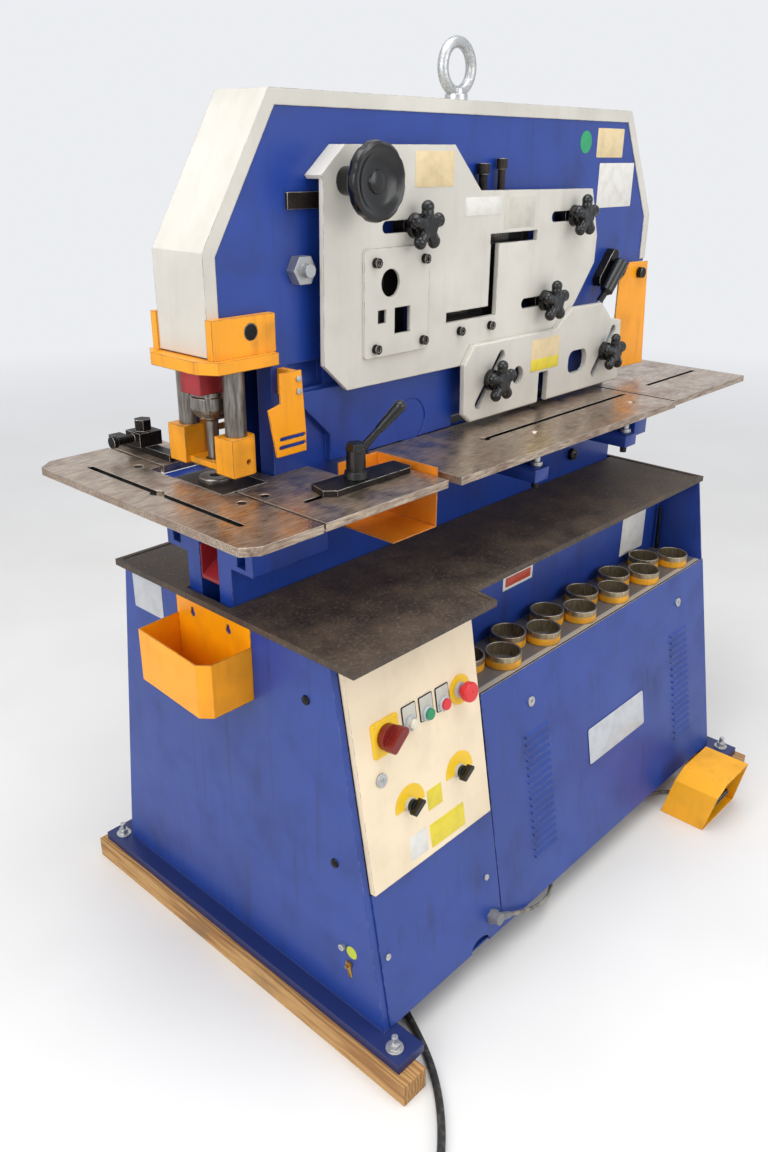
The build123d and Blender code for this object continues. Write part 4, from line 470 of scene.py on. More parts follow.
# Pedal cable's gland: grey moulded nut and a ribbed bend relief, screwed through the lower
# panel, with the cable in its mouth.
grey_moulding = bare_plate("grey_polyamide_gland", "#77777a", 0.45)
gland_start = Vector(PEDAL_LINE[0])
gland_way = (gland_start - Vector(PEDAL_LINE[1])).normalized()
GLAND_X, GLAND_Z = -340, 119
bm = bmesh.new()
rod(bm, on_front(GLAND_X, GLAND_Z, 3.2), on_front(GLAND_X, GLAND_Z, 12), 0.0166, 6)
rod(bm, on_front(GLAND_X, GLAND_Z, 11.8), on_front(GLAND_X, GLAND_Z, 27), 0.0140, 28, 0.0125)
for rib in range(7):
    at = gland_start + gland_way * (0.006 * rib + 0.0005)
    rod(bm, at, at + gland_way * 0.0042, 0.0072 + 0.0004 * rib, 24)
rod(bm, gland_start, gland_start + gland_way * 0.045, 0.0069, 24)
settle("pedal_gland", bm, grey_moulding, "machine")

# Deck: the cabinet's top sheet, covered with a worn dark brown rubber coat, trodden shiny in
# places and dusty at its edges.
def deck_rubber():
    # Ribbed styrene rubber, laid in sheet: brown-black, scuffed paler, with steel dust in it.
    mat, shader = new_material("trodden_rubber_sheet")
    where = place_of(mat)
    scuff = noise(mat, where, 13.0, 9.0, 0.65)
    dust = noise(mat, where, 160.0, 6.0, 0.7)
    colour = mixed(mat, ramp(mat, scuff, 0.34, 0.72), paint_value("#2c231c"), paint_value("#57483a"))
    colour = mixed(mat, ramp(mat, dust, 0.52, 0.85), colour, paint_value("#7d6c5c"))
    feed(mat, colour, shader, "Base Color")
    rough = node(mat, "ShaderNodeMapRange", {"Value": scuff, "To Min": 0.42, "To Max": 0.85})
    feed(mat, rough.outputs["Result"], shader, "Roughness")
    bump = node(mat, "ShaderNodeBump", {"Strength": 0.35, "Distance": 0.0008, "Height": dust})
    feed(mat, bump.outputs["Normal"], shader, "Normal")
    return mat


deck_sheet = deck_rubber()
dress("deck_mat", deck_sheet)
# Its edge strip is a flange on the deck and a lip over the rim.
DECK_RIM = (
    (-0.7295, -0.306), (-0.3465, -0.306), (-0.3345, -0.234), (-0.3185, -0.240), (0.6385, -0.240),
    (0.6385, 0.379), (-0.7295, 0.379),
)
STRIP_THICK, STRIP_FLANGE, STRIP_LIP, STRIP_Z = 0.0012, 0.009, 0.0118, 0.8293
bm = bmesh.new()
high = [bm.verts.new((x, y, STRIP_Z)) for x, y in DECK_RIM]
top = bm.faces.new(high)
bm.normal_update()
bmesh.ops.inset_region(bm, faces=[top], thickness=STRIP_FLANGE, use_boundary=True, use_even_offset=True)
bmesh.ops.delete(bm, geom=[top], context="FACES_ONLY")
outer = [e for e in bm.edges if all(v in high for v in e.verts)]
wall = bmesh.ops.extrude_edge_only(bm, edges=outer)["geom"]
lip = [v for v in wall if isinstance(v, bmesh.types.BMVert)]
bmesh.ops.translate(bm, vec=(0, 0, -STRIP_LIP), verts=lip)
bmesh.ops.recalc_face_normals(bm, faces=bm.faces)
bmesh.ops.solidify(bm, geom=bm.faces[:], thickness=-STRIP_THICK)
settle("deck_edge_strip", bm, deck_sheet, "machine")


# Holder rings: twelve short lengths of steel tube welded upright on the recess floor, where the
# spare punches and dies stand. The mouths are bright, the sides browned.
def bare_steel(name, bright, dull, rust, rusting=0.5, rough=0.36, grain=(1.0, 1.0, 1.0), fine=240.0, plated=()):
    # Cold drawn or ground mild steel: bright on the edges, with an oily brown bloom of rust.
    mat, shader = new_material(name)
    where = place_of(mat)
    drawn = node(mat, "ShaderNodeMapping", {"Vector": where, "Scale": grain}).outputs["Vector"]
    lines = noise(mat, drawn, fine, 5.0)
    bloom = noise(mat, where, 16.0, 8.0, 0.62)
    colour = mixed(mat, ramp(mat, lines, 0.35, 0.7), paint_value(bright), paint_value(dull))
    share = product(mat, ramp(mat, bloom, 0.42, 0.72), rusting)
    colour = mixed(mat, share, colour, paint_value(rust))
    worn, soft = worn_edges(mat, 0.002, where, 0.2, 0.55)
    colour = mixed(mat, worn, colour, paint_value("#cfc9c0"))
    for low, high, face in plated:
        colour = mixed(mat, within(mat, where, low, high), colour, paint_value(face))
    feed(mat, colour, shader, "Base Color")
    metal = node(mat, "ShaderNodeMapRange", {"Value": share, "To Min": 0.95, "To Max": 0.25})
    feed(mat, metal.outputs["Result"], shader, "Metallic")
    satin = node(mat, "ShaderNodeMapRange", {"Value": bloom, "To Min": rough - 0.08, "To Max": rough + 0.22})
    feed(mat, satin.outputs["Result"], shader, "Roughness")
    bump = node(mat, "ShaderNodeBump", {"Strength": 0.18, "Distance": 0.0004, "Height": lines, "Normal": soft})
    feed(mat, bump.outputs["Normal"], shader, "Normal")
    return mat


dress("holder_rings", bare_steel("drawn_steel_tube", "#b5a688", "#877a60", "#5d4630", 0.5, 0.3, (1, 1, 0.2)))
ring_yellow = enamel("yellow_ring_enamel", "#e8a31a", "#8a8074", "#5a4426", (0.3, 0.42), 0.36, 0.7, 0.5)
BAND_R = 0.0393
RING_STEP = 0.149
bm = bmesh.new()
for row_x, row_y in ((-0.2025, -0.229), (-0.2705, -0.184)):
    for step in range(6):
        place = Matrix.Translation((row_x + RING_STEP * step, row_y, 0.6197))
        bmesh.ops.create_cone(bm, cap_ends=False, segments=56, radius1=BAND_R, radius2=BAND_R, depth=0.0165,
                              matrix=place)
bmesh.ops.recalc_face_normals(bm, faces=bm.faces)
bmesh.ops.solidify(bm, geom=bm.faces[:], thickness=0.0003)
settle("ring_paint_bands", bm, ring_yellow, "machine")

# Plated fasteners: studs with nuts and washers, lifting eye, panel screws and levelling bolts,
# all of zinc plated steel, dulled by handling.
zinc = bare_steel("zinc_plated_steel", "#c9ccce", "#a3a6a8", "#7c6a52", 0.3, 0.32)
dress("zinc_hardware", zinc)
dress("panel_lock_left", zinc)
dress("panel_lock_right", zinc)
dress("door_lock", zinc)
black_oxide = bare_steel("oiled_black_steel", "#2b2b2c", "#1b1b1c", "#4a3a2c", 0.4, 0.4)
PIVOT_NUT = ((-0.575, -0.03, 1.37), (-0.485, 0.0303, 1.46), "#a9abac")
dress("black_hardware", bare_steel("black_steel_zinc_nut", "#2b2b2c", "#1b1b1c", "#4a3a2c", 0.4, 0.4,
                                   plated=[PIVOT_NUT]))
dress("cover_screws", black_oxide)

# Drift: a short black steel rod that stands in the recess's right-hand corner.
bm = bmesh.new()
rod(bm, (0.6125, -0.150, 0.6102), (0.6125, -0.146, 0.729), 0.0048, 20, 0.0044)
settle("recess_drift", bm, black_oxide, "machine")

# Control door: folded sheet door with a fine textured beige coat. It carries the main switch,
# the buttons and the selectors, each on its own legend plate without any writing.
door_beige = enamel("beige_textured_coat", "#efdcbd", "#9a8d76", "#9a8762", (0.48, 0.6), spread=0.2, runs=0.1,
                    gloss=0.44)
dress("control_door", door_beige)
CONTACTORS = [((-0.672, -0.1838, z - 0.0385), (-0.40, -0.137, z + 0.0385), "#2f3136") for z in (0.500, 0.660)]
dress("electric_box", enamel("grey_tray_coat", "#b9b7b0", "#8a8880", "#6f6a62", (0.5, 0.62), 0.42, 0.2, 0.1,
                             patches_and_painted_shade=CONTACTORS))


def shop_plastic(name, face, rough=0.3, worn="#6f6b66", wearing=0.25):
    # Injection moulded ABS or polyamide: even colour, greasy finger marks, edges rubbed paler.
    mat, shader = new_material(name)
    where = place_of(mat)
    marks = noise(mat, where, 70.0, 6.0)
    edge, soft = worn_edges(mat, 0.0012, where, 0.3, 0.75)
    colour = mixed(mat, product(mat, edge, wearing), paint_value(face), paint_value(worn))
    feed(mat, colour, shader, "Base Color")
    satin = node(mat, "ShaderNodeMapRange", {"Value": marks, "To Min": rough - 0.1, "To Max": rough + 0.16})
    feed(mat, satin.outputs["Result"], shader, "Roughness")
    bump = node(mat, "ShaderNodeBump", {"Strength": 0.06, "Distance": 0.0003, "Height": marks, "Normal": soft})
    feed(mat, bump.outputs["Normal"], shader, "Normal")
    return mat


signal_yellow = shop_plastic("yellow_polycarbonate", "#ecc01c", 0.34, "#8e7430")
signal_red = shop_plastic("red_polycarbonate", "#d42a30", 0.28, "#7c5650")
signal_green = shop_plastic("green_polycarbonate", "#1a8a5a", 0.28, "#7c8a80")
ivory = shop_plastic("ivory_polycarbonate", "#ddd6c2", 0.28, "#8c8878")
black_nylon = shop_plastic("black_glass_filled_nylon", "#070708", 0.2, "#6a6660", 0.16)
film_white = bare_plate("white_vinyl_film", "#dcd9d2", 0.35)
film_yellow = bare_plate("yellow_vinyl_film", "#dcc832", 0.35)
film_cream = bare_plate("cream_vinyl_film", "#dcc69a", 0.35)
film_red = bare_plate("red_vinyl_film", "#b8402a", 0.35)
grey_legend = bare_plate("engraved_grey_laminate", "#c4c0b4", 0.44)

# Places on the door are millimetres from the frame plates' middle, and out from the cabinet's front.
DOOR_FACE = 12.0
SWITCH_X, SWITCH_Z = -588, 648
STOP_X, STOP_Z = -377, 653
LAMP_X, BUTTON_Z = -522, 645
bm = bmesh.new()
soft_plate(bm, 0.068, 0.068, 0.005, 0.005, front_place(SWITCH_X, SWITCH_Z, DOOR_FACE), 0.0012)
for dx, dz in ((-28, -28), (28, -28), (-28, 28), (28, 28)):
    rod(bm, on_front(SWITCH_X + dx, SWITCH_Z + dz, 16.9), on_front(SWITCH_X + dx, SWITCH_Z + dz, 17.6), 0.0032, 16)
switch_plate = settle("main_switch_plate", bm, signal_yellow, "door")
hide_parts("door_fittings")
bm = bmesh.new()
rod(bm, on_front(STOP_X, STOP_Z, DOOR_FACE), on_front(STOP_X, STOP_Z, 14.0), 0.030, 48)
settle("stop_disc", bm, signal_yellow, "door")
bm = bmesh.new()
rod(bm, on_front(STOP_X, STOP_Z, 13.9), on_front(STOP_X, STOP_Z, 20.0), 0.0158, 40, 0.0148)
settle("stop_collar", bm, plate_grey, "door")
# Half of a bezel's section: out from its middle, and up from the door. The button sinks into it.
BEZEL = (
    (0.0094, 0.0139), (0.0094, 0.0150), (0.0113, 0.0150), (0.0113, 0.0208), (0.0128, 0.0208), (0.0148, 0.0184),
    (0.0150, 0.0139),
)
for label, x in (("lamp", LAMP_X), ("start", -475), ("halt", -428)):
    bm = bmesh.new()
    soft_plate(bm, 0.038, 0.050, 0.002, 0.003, front_place(x, BUTTON_Z + 12, DOOR_FACE))
    settle(f"{label}_legend", bm, black_nylon, "door")
    bm = bmesh.new()
    soft_plate(bm, 0.0345, 0.0465, 0.0005, 0.0025, front_place(x, BUTTON_Z + 12, 13.9), 0.0002)
    settle(f"{label}_legend_insert", bm, grey_legend, "door")
    bm = bmesh.new()
    line = [bm.verts.new((far, 0, up)) for far, up in BEZEL]
    edges = [bm.edges.new(pair) for pair in zip(line, line[1:] + line[:1])]
    bmesh.ops.spin(bm, geom=line + edges, axis=(0, 0, 1), cent=(0, 0, 0), steps=48, angle=2 * math.pi,
                   use_merge=True)
    bmesh.ops.transform(bm, verts=bm.verts, matrix=front_place(x, BUTTON_Z))
    settle(f"{label}_bezel", bm, plate_grey, "door")
bm = bmesh.new()
rod(bm, on_front(LAMP_X, BUTTON_Z, 14.5), on_front(LAMP_X, BUTTON_Z, 25.5), 0.0112, 40, 0.0100)
rod(bm, on_front(LAMP_X, BUTTON_Z, 25.4), on_front(LAMP_X, BUTTON_Z, 27.6), 0.0100, 40, 0.0068)
settle("lamp_lens", bm, ivory, "door")
for name, film, x, z, wide, tall in (
    ("door_label_small", film_yellow, -479, 473.5, 0.042, 0.042),
    ("door_label_wide", film_yellow, -452, 399, 0.102, 0.050),
    ("door_label_square", film_white, -537, 402, 0.048, 0.050),
):
    bm = bmesh.new()
    soft_plate(bm, wide, tall, 0.0006, 0.002, front_place(x, z, DOOR_FACE), 0.0002)
    settle(name, bm, film, "door")
for label, x, z in (("left", -547, 491), ("right", -402, 492)):
    bm = bmesh.new()
    rod(bm, on_front(x, z, DOOR_FACE), on_front(x, z, 13.0), 0.040, 56)
    bmesh.ops.bisect_plane(bm, geom=bm.verts[:] + bm.edges[:] + bm.faces[:], plane_co=on_front(x, z - 4, 0),
                           plane_no=up_front, clear_inner=True)
    bmesh.ops.holes_fill(bm, edges=[e for e in bm.edges if e.is_boundary])
    settle(f"selector_legend_{label}", bm, signal_yellow, "door")
    bm = bmesh.new()
    rod(bm, on_front(x, z, 12.9), on_front(x, z, 18.0), 0.0145, 40, 0.0138)
    settle(f"selector_collar_{label}", bm, plate_grey, "door")
dress("main_switch", shop_plastic("brick_red_polyamide", "#741a12", 0.26, "#7c5650"))
dress("selector_left", black_nylon)
dress("selector_right", black_nylon)
dress("button_green", signal_green)
dress("button_red", signal_red)
dress("emergency_stop", signal_red)

# Slug bin: folded steel sheet painted yellow-orange, hung on two screws on the end panel.
# The rim and the folds are chipped by the scrap that is tipped out of it.
bin_yellow = enamel("yellow_orange_enamel", "#fda402", "#6d5232", "#8a4c0a", (0.42, 0.52), 0.34, 0.3, 0.22)
for name in ("slug_bin", "punch_guard", "notch_guard"):
    dress(name, bin_yellow)
dress("slug_chute", enamel("red_primer_enamel", "#a3242c", "#6d5a50", "#3a1818", spread=0.4))

# Frame: two plates of rolled steel, welded into one frame and painted blue. They carry every
# cutting station. A plain green disc is stuck on the front plate.
bm = bmesh.new()
rod(bm, (0.3676, 0.0305, 1.623), (0.3676, 0.0299, 1.623), 0.0235, 48)
settle("green_disc", bm, bare_plate("green_vinyl_film", "#1c9a63", 0.35), "machine")

# The bar stations' cut walls and the two blade seats behind the cover are near-black: unpainted steel, and painted
# shade.
BAR_STATIONS_BARE_AND_PAINTED_SHADE = (
    ((-0.43, 0.0325, 1.03), (0.31, 0.1595, 1.47), "#211d1a"),
    ((-0.415, 0.0295, 1.265), (-0.245, 0.034, 1.42), "#211d1a"),
    ((-0.19, 0.0295, 1.262), (0.165, 0.034, 1.472), "#211d1a"),
)
frame_blue = enamel("blue_frame_enamel", "#193c92", "#5a6688", "#0e1428", (0.47, 0.58), 0.3, 0.4, 0.3,
                    patches_and_painted_shade=BAR_STATIONS_BARE_AND_PAINTED_SHADE)
dress("front_frame_plate", frame_blue)
dress("back_frame_plate", frame_blue)

# Table arms: square steel bars welded to the frame's front under the long table, painted with
# it. A levelling bolt's zinc plated head stands on each, and its black end comes out below.
FRAME_FACE = 0.0302
LONG_OUT, SHORT_OUT = -0.160, -0.134
BOLT_X = (0.0115, 0.3895)
BOLT_Y = -0.136
bm = bmesh.new()
for x0, x1, front, z0, z1 in (
    (-0.0245, 0.0255, LONG_OUT, 0.949, 0.978), (0.3535, 0.4035, LONG_OUT, 0.949, 0.978),
    (0.4405, 0.4975, SHORT_OUT, 0.956, 1.0405),
):
    size = Matrix.Diagonal((x1 - x0, FRAME_FACE - front, z1 - z0, 1.0))
    middle = Matrix.Translation(((x0 + x1) / 2, (FRAME_FACE + front) / 2, (z0 + z1) / 2))
    bmesh.ops.create_cube(bm, size=1.0, matrix=middle @ size)
bmesh.ops.bevel(bm, geom=bm.edges[:], offset=0.0012, segments=2, profile=0.5, affect="EDGES", material=-1)
settle("table_arms", bm, frame_blue, "machine", 0.5)
bm = bmesh.new()
for x in BOLT_X:
    rod(bm, (x, BOLT_Y, 0.9782), (x, BOLT_Y, 0.9865), 0.0135, 28, 0.0128)
settle("arm_bolt_heads", bm, zinc, "machine")
bm = bmesh.new()
for x in BOLT_X:
    rod(bm, (x, BOLT_Y, 0.949), (x, BOLT_Y, 0.928), 0.0085, 20, 0.0078)
settle("arm_bolt_ends", bm, black_oxide, "machine")

# Frame plug: a black socket plug in the front plate, below the long table.
PLUG_X, PLUG_Z = 0.4205, 0.881
bm = bmesh.new()
rod(bm, (PLUG_X, 0.0305, PLUG_Z), (PLUG_X, 0.0175, PLUG_Z), 0.0155, 32, 0.0148)
rod(bm, (PLUG_X, 0.018, PLUG_Z), (PLUG_X, 0.0165, PLUG_Z), 0.0082, 6)
settle("frame_plug", bm, black_oxide, "machine")

# Head cover: sheet steel strip folded over the top and the ends of the frame, painted cream,
# with its lips spot welded to the plates.
cover_cream = enamel("cream_enamel", "#d3cfc5", "#8a8172", "#8f8577", (0.46, 0.56), spread=0.2, runs=0.14,
                     gloss=0.28)
dress("head_cover", cover_cream)

# Punch station: a yellow bridge carried on both plates, holding two ground columns, a stripper
# and the ram with its coupling nut and punch. Oil and dust have darkened the paint.
station_yellow = enamel("oily_yellow_enamel", "#f7a313", "#4c3a28", "#5a3408", (0.34, 0.46), 0.34, 0.5, 0.5)
dress("punch_bridge", station_yellow)
dress("stripper", station_yellow)
ground_steel = bare_steel("ground_tool_steel", "#97928b", "#5f5a55", "#3c2f24", 0.5, 0.24, (1, 1, 0.12))
for name in ("guide_columns", "punch", "die", "cylinder_rod", "rocker_beam"):
    dress(name, ground_steel)
dress("punch_ram", enamel("red_ram_enamel", "#a92730", "#5a4640", "#2e1414", (0.32, 0.46), 0.4, 0.5, 0.4))
dress("die_block", bare_steel("blackened_die_steel", "#4a4744", "#2e2c2b", "#4a3524", 0.5, 0.42))

# Tables: five milled steel plates round the stations, screwed to the frame. The tops are bright
# where sheets slide, browned by rust elsewhere, with dark grooves.
TABLE_SLOTS = (
    (-0.8045, -0.7925, -0.130, 0.320), (-0.6545, -0.3975, -0.122, -0.110), (-0.6705, -0.6585, 0.246, 0.386),
    (-0.1335, 0.4415, -0.101, -0.089), (0.5665, 0.8295, -0.092, -0.080),
)
# Inside the slots the steel is coloured near-black.
SLOT_INSIDE_DARKENING = [((x0 - 0.0004, y0 - 0.0004, 1.040), (x1 + 0.0004, y1 + 0.0004, 1.0554), "#1c1714")
             for x0, x1, y0, y1 in TABLE_SLOTS]
table_steel = bare_steel("milled_table_steel", "#cdbba6", "#86756a", "#5f3f2b", 0.82, 0.24, (0.12, 1, 1), 300.0,
                         plated=SLOT_INSIDE_DARKENING)
for name in ("punch_table_left", "punch_table_right", "long_table", "end_table"):
    dress(name, table_steel)

# Offcut chute: thin orange sheet folded to an open tray under the right punch table.
dress("cutoff_chute", enamel("orange_enamel", "#e8871a", "#8a6a48", "#5c3a18", (0.36, 0.46), 0.36, 0.35, 0.25))

# Blank plates: thin printed films and aluminium plates stuck or riveted to the machine. Every one
# is left without words, signs or marks.
PLATES = (
    ("end_panel_plate", plate_grey, (-0.7188, 0.290, 0.772), 0.100, 0.076, "end"),
    ("head_plate_top", film_cream, (0.474, 0.0303, 1.622), 0.116, 0.062, "face"),
    ("head_plate_low", film_white, (0.514, 0.0303, 1.530), 0.158, 0.098, "face"),
    ("recess_plate", film_white, (0.494, -0.1343, 0.692), 0.118, 0.122, "face"),
    ("recess_strip", film_white, (-0.0265, -0.1343, 0.722), 0.114, 0.036, "face"),
    ("recess_strip_middle", film_red, (-0.0265, -0.1349, 0.722), 0.096, 0.022, "face"),
)
upright_turn = Matrix.Rotation(math.radians(90), 4, "X")
for name, mat, middle, wide, tall, side in PLATES:
    turn = upright_turn
    if side == "end":
        turn = Matrix.Rotation(math.radians(-90), 4, "Z") @ turn
    bm = bmesh.new()
    soft_plate(bm, wide, tall, 0.0006, 0.003, Matrix.Translation(middle) @ turn, 0.0002)
    settle(name, bm, mat, "machine")
COVER_FACE = -0.0095
HOLD_FACE = -0.0228
COVER_PLATES = (
    ("cover_plate_cream", film_cream, (-0.2068, COVER_FACE, 1.571), 0.112, 0.062),
    ("cover_plate_white", film_white, (-0.0530, COVER_FACE, 1.502), 0.118, 0.034),
    ("cover_plate_grey", grey_legend, (0.0720, COVER_FACE, 1.487), 0.108, 0.062),
)
for name, mat, middle, wide, tall in COVER_PLATES:
    bm = bmesh.new()
    soft_plate(bm, wide, tall, 0.0006, 0.003, Matrix.Translation(middle) @ upright_turn, 0.0002)
    settle(name, bm, mat, "cover")
bm = bmesh.new()
soft_plate(bm, 0.112, 0.072, 0.0006, 0.003, Matrix.Translation((0.186, HOLD_FACE, 1.180)) @ upright_turn, 0.0002)
settle("hold_down_film", bm, film_cream, "hold_down")
bm = bmesh.new()
film_foot = Matrix.Translation((0.186, HOLD_FACE - 0.0005, 1.158)) @ upright_turn
soft_plate(bm, 0.110, 0.026, 0.0004, 0.002, film_foot, 0.0001)
settle("hold_down_film_foot", bm, film_yellow, "hold_down")

# Shear covers: the big cream plate in front of the shears and the lower hold-down plate, both
# sawn from 10 to 13 mm plate, with ground edges, clamped by the star knobs.
dress("shear_cover", cover_cream)
dress("hold_down_plate", cover_cream)


# Star knobs: five-lobed clamping knobs moulded in black nylon on a threaded stud, greasy and
# worn to a shine on their lobes.
def star_knob(number, x, z, seat):
    """A knob whose base stands on a plate's face; the face's distance out is given."""
    place = Matrix.Translation(((x - 37.5) / 1000, seat, z / 1000)) @ upright_turn
    bm = bmesh.new()
    rod(bm, (0, 0, 0.0004), (0, 0, 0.012), 0.023, 36, 0.0215)
    rod(bm, (0, 0, 0.0115), (0, 0, 0.024), 0.016, 32, 0.0165)
    rod(bm, (0, 0, 0.022), (0, 0, 0.042), 0.021, 40, 0.019)
    for lobe in range(5):
        turn = Matrix.Rotation(math.radians(72 * lobe + 18), 4, "Z")
        arm = bmesh.ops.create_uvsphere(bm, u_segments=20, v_segments=14, radius=1.0)["verts"]
        bmesh.ops.scale(bm, vec=(0.0245, 0.0128, 0.0112), verts=arm)
        bmesh.ops.translate(bm, vec=(0.0215, 0, 0.032), verts=arm)
        bmesh.ops.transform(bm, matrix=turn, verts=arm)
        tip = bmesh.ops.create_uvsphere(bm, u_segments=20, v_segments=14, radius=1.0)["verts"]
        bmesh.ops.scale(bm, vec=(0.0122, 0.0134, 0.0112), verts=tip)
        bmesh.ops.translate(bm, vec=(0.0336, 0, 0.032), verts=tip)
        bmesh.ops.transform(bm, matrix=turn, verts=tip)
    bmesh.ops.transform(bm, matrix=place, verts=bm.verts)
    made = settle(f"knob_{number}_star", bm, black_nylon, f"knob_{number}")
    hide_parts(f"star_knob_{number}")


for number, (x, z) in enumerate(((-225, 1474.5), (317, 1472), (222, 1297))):
    star_knob(number + 1, x, z, COVER_FACE)
for number, (x, z) in enumerate(((17, 1152), (480, 1152))):
    star_knob(number + 4, x, z, HOLD_FACE)

# Handwheel: moulded black wheel on a steel spindle, with a dished face and shallow finger
# lobes round its rim, that moves the cover's slide.
WHEEL_PROFILE = (
    (0.0235, 0.0003), (0.0235, 0.046), (0.028, 0.056), (0.046, 0.0605), (0.0605, 0.0625), (0.0638, 0.067),
    (0.064, 0.0745), (0.0622, 0.0805), (0.0575, 0.0838), (0.0515, 0.0825), (0.0455, 0.077), (0.034, 0.0735),
    (0.0195, 0.0725), (0.0178, 0.0755), (0.0125, 0.0772), (0.004, 0.0776),
)
bm = bmesh.new()
line = [bm.verts.new((out, 0, up)) for out, up in WHEEL_PROFILE]
edges = [bm.edges.new(pair) for pair in zip(line, line[1:])]
bmesh.ops.spin(bm, geom=line + edges, axis=(0, 0, 1), cent=(0, 0, 0), steps=90, angle=2 * math.pi,
               use_merge=True)
bmesh.ops.remove_doubles(bm, verts=bm.verts, dist=1e-5)
bmesh.ops.holes_fill(bm, edges=[e for e in bm.edges if e.is_boundary])
LOBES, LOBE_START, LOBE_DEPTH = 9, 0.05, 0.028
for vert in bm.verts:
    far = math.hypot(vert.co.x, vert.co.y)
    if far > LOBE_START:
        lobe = math.cos(LOBES * math.atan2(vert.co.y, vert.co.x))
        shrink = 1 - LOBE_DEPTH * max(0.0, lobe) ** 1.6 * min(1.0, (far - LOBE_START) / 0.01)
        vert.co.x *= shrink
        vert.co.y *= shrink
bmesh.ops.transform(bm, verts=bm.verts, matrix=Matrix.Translation((-0.4415, COVER_FACE, 1.554)) @ upright_turn)
wheel = settle("handwheel_moulding", bm, black_nylon, "wheel")
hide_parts("handwheel")

# Guard spring: a rubber-sleeved gas spring on the lug by the notching station, with a turned
# neck and a bright end, which disappears behind the hold-down plate.
SPRING = Vector((0.5085, -0.010, 1.356)), Vector((0.4605, -0.004, 1.292)), Vector((0.4465, 0.004, 1.268))
bm = bmesh.new()
way = (SPRING[1] - SPRING[0]).normalized()
rod(bm, SPRING[0], SPRING[1], 0.0178, 40, 0.0165)
rod(bm, SPRING[0] + way * 0.001, SPRING[0] - way * 0.004, 0.0172, 40, 0.0135)
rod(bm, SPRING[1] - way * 0.001, SPRING[1] + way * 0.006, 0.0158, 40, 0.0098)
rod(bm, SPRING[1], SPRING[2], 0.0082, 28)
settle("guard_spring", bm, black_nylon, "machine")
bm = bmesh.new()
tip = (SPRING[2] - SPRING[1]).normalized()
rod(bm, SPRING[2] - tip * 0.001, SPRING[2] + tip * 0.011, 0.0052, 20, 0.0044)
settle("guard_spring_end", bm, zinc, "machine")

# Gauges: flame cut bars on the punch tables with a key in the slot, clamped by a lever.
dress("gauge_bar_left", black_oxide)
dress("gauge_bar_right", black_oxide)
CLAMP = Vector((-0.5225, -0.110, 1.0688))
arm_way = Vector((59, -26, 62)).normalized()
bm = bmesh.new()
rod(bm, CLAMP, CLAMP + Vector((0, 0, 0.012)), 0.0225, 40, 0.0205)
rod(bm, CLAMP + Vector((0, 0, 0.0115)), CLAMP + Vector((0, 0, 0.052)), 0.0178, 40, 0.0172)
rod(bm, CLAMP + Vector((0, 0, 0.0515)), CLAMP + Vector((0, 0, 0.063)), 0.0195, 6, 0.0165)
neck = CLAMP + Vector((0, 0, 0.040))
rod(bm, neck, neck + arm_way * 0.062, 0.0085, 24, 0.0062)
rod(bm, neck + arm_way * 0.060, neck + arm_way * 0.116, 0.0078, 28, 0.0112)
ball = bmesh.ops.create_uvsphere(bm, u_segments=28, v_segments=18, radius=0.0113)["verts"]
bmesh.ops.translate(bm, vec=neck + arm_way * 0.116, verts=ball)
lever = settle("clamp_lever_handle", bm, black_nylon, "lever")
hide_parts("clamp_lever")

# Pedal: a cast lever with ribs against slipping, under a guard folded from sheet steel and
# painted yellow.
dress("pedal_guard", enamel("pedal_yellow_enamel", "#ffb210", "#8a6a3a", "#7a4c12", (0.4, 0.5), 0.34, 0.3, 0.2))
dress("treadle", black_oxide)

# Studio: a plain pale floor that fades into the backdrop, and soft lamps above it.
# It isn't part of the machine.
BACKDROP = "#eceef2"
mat, shader = new_material("pale_floor")
where = place_of(mat)
shade = noise(mat, where, 1.3, 3.0)
colour = mixed(mat, ramp(mat, shade, 0.3, 0.7), paint_value("#e6e5e2"), paint_value("#dedcd8"))
feed(mat, colour, shader, "Base Color")
shader.inputs["Roughness"].default_value = 0.55
away = node(mat, "ShaderNodeVectorMath", {0: where}, operation="LENGTH").outputs["Value"]
fade = node(mat, "ShaderNodeMapRange", {"Value": away, "From Min": 2.2, "From Max": 7.0}).outputs["Result"]
ray = node(mat, "ShaderNodeLightPath").outputs
rays = {0: ray["Is Camera Ray"], 1: ray["Is Glossy Ray"]}
direct = node(mat, "ShaderNodeMath", rays, operation="MAXIMUM").outputs[0]
share = product(mat, fade, direct)
glow = node(mat, "ShaderNodeEmission", {"Color": paint_value(BACKDROP), "Strength": 1.0}).outputs["Emission"]
both = node(mat, "ShaderNodeMixShader", {0: share, 1: shader.outputs[0], 2: glow}).outputs[0]
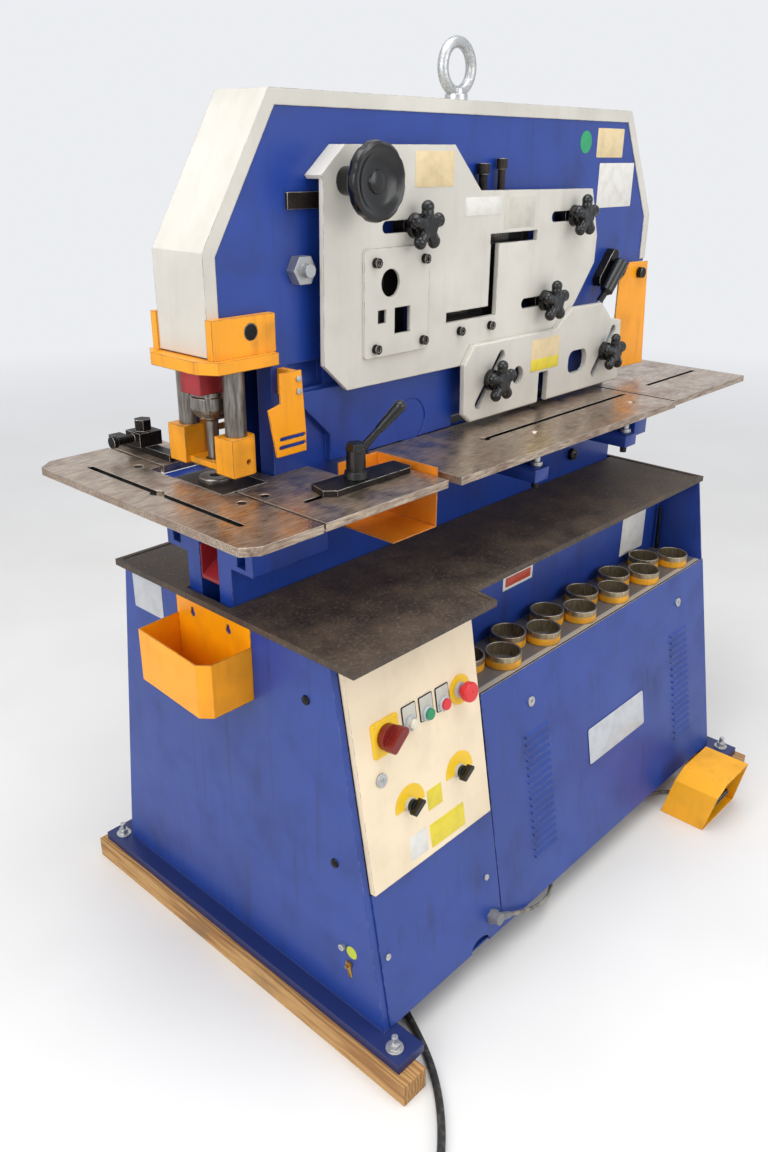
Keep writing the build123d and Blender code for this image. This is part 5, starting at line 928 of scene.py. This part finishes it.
mat.node_tree.links.new(both, mat.node_tree.nodes["Material Output"].inputs["Surface"])
bm = bmesh.new()
bmesh.ops.create_grid(bm, x_segments=1, y_segments=1, size=14.0)
data = bpy.data.meshes.new("floor")
bm.to_mesh(data)
bm.free()
floor = bpy.data.objects.new("floor", data)
scene.collection.objects.link(floor)
data.materials.append(mat)


def lamp(name, at, aim, size, power):
    """A soft rectangular lamp that points at a place."""
    light = bpy.data.lights.new(name, "AREA")
    light.shape = "RECTANGLE"
    light.size, light.size_y = size
    light.energy = power
    made = bpy.data.objects.new(name, light)
    made.location = at
    made.rotation_euler = (Vector(aim) - Vector(at)).to_track_quat("-Z", "Y").to_euler()
    scene.collection.objects.link(made)


lamp("ceiling_lamp", (-0.6, -0.4, 4.6), (0, 0, 0.8), (4.5, 3.0), 138)
lamp("left_window", (-4.2, -0.4, 2.6), (0, 0, 0.9), (3.0, 2.4), 90)
lamp("front_window", (0.6, -4.4, 2.4), (0, 0, 0.9), (3.4, 2.2), 64)
world = bpy.data.worlds.new("studio")
scene.world = world
world.use_nodes = True
surround = world.node_tree.nodes["Background"]
surround.inputs["Color"].default_value = (0.93, 0.95, 1.0, 1.0)
surround.inputs["Strength"].default_value = 0.6
seen = world.node_tree.nodes.new("ShaderNodeBackground")
seen.inputs["Color"].default_value = paint_value(BACKDROP)
seen.inputs["Strength"].default_value = 1.0
ray = world.node_tree.nodes.new("ShaderNodeLightPath")
either = world.node_tree.nodes.new("ShaderNodeMath")
either.operation = "MAXIMUM"
blend = world.node_tree.nodes.new("ShaderNodeMixShader")
ends = world.node_tree.nodes["World Output"]
for out, into in (
    (ray.outputs["Is Camera Ray"], either.inputs[0]), (ray.outputs["Is Glossy Ray"], either.inputs[1]),
    (either.outputs[0], blend.inputs[0]), (surround.outputs[0], blend.inputs[1]),
    (seen.outputs[0], blend.inputs[2]), (blend.outputs[0], ends.inputs["Surface"]),
):
    world.node_tree.links.new(out, into)
scene.view_settings.view_transform = "Standard"
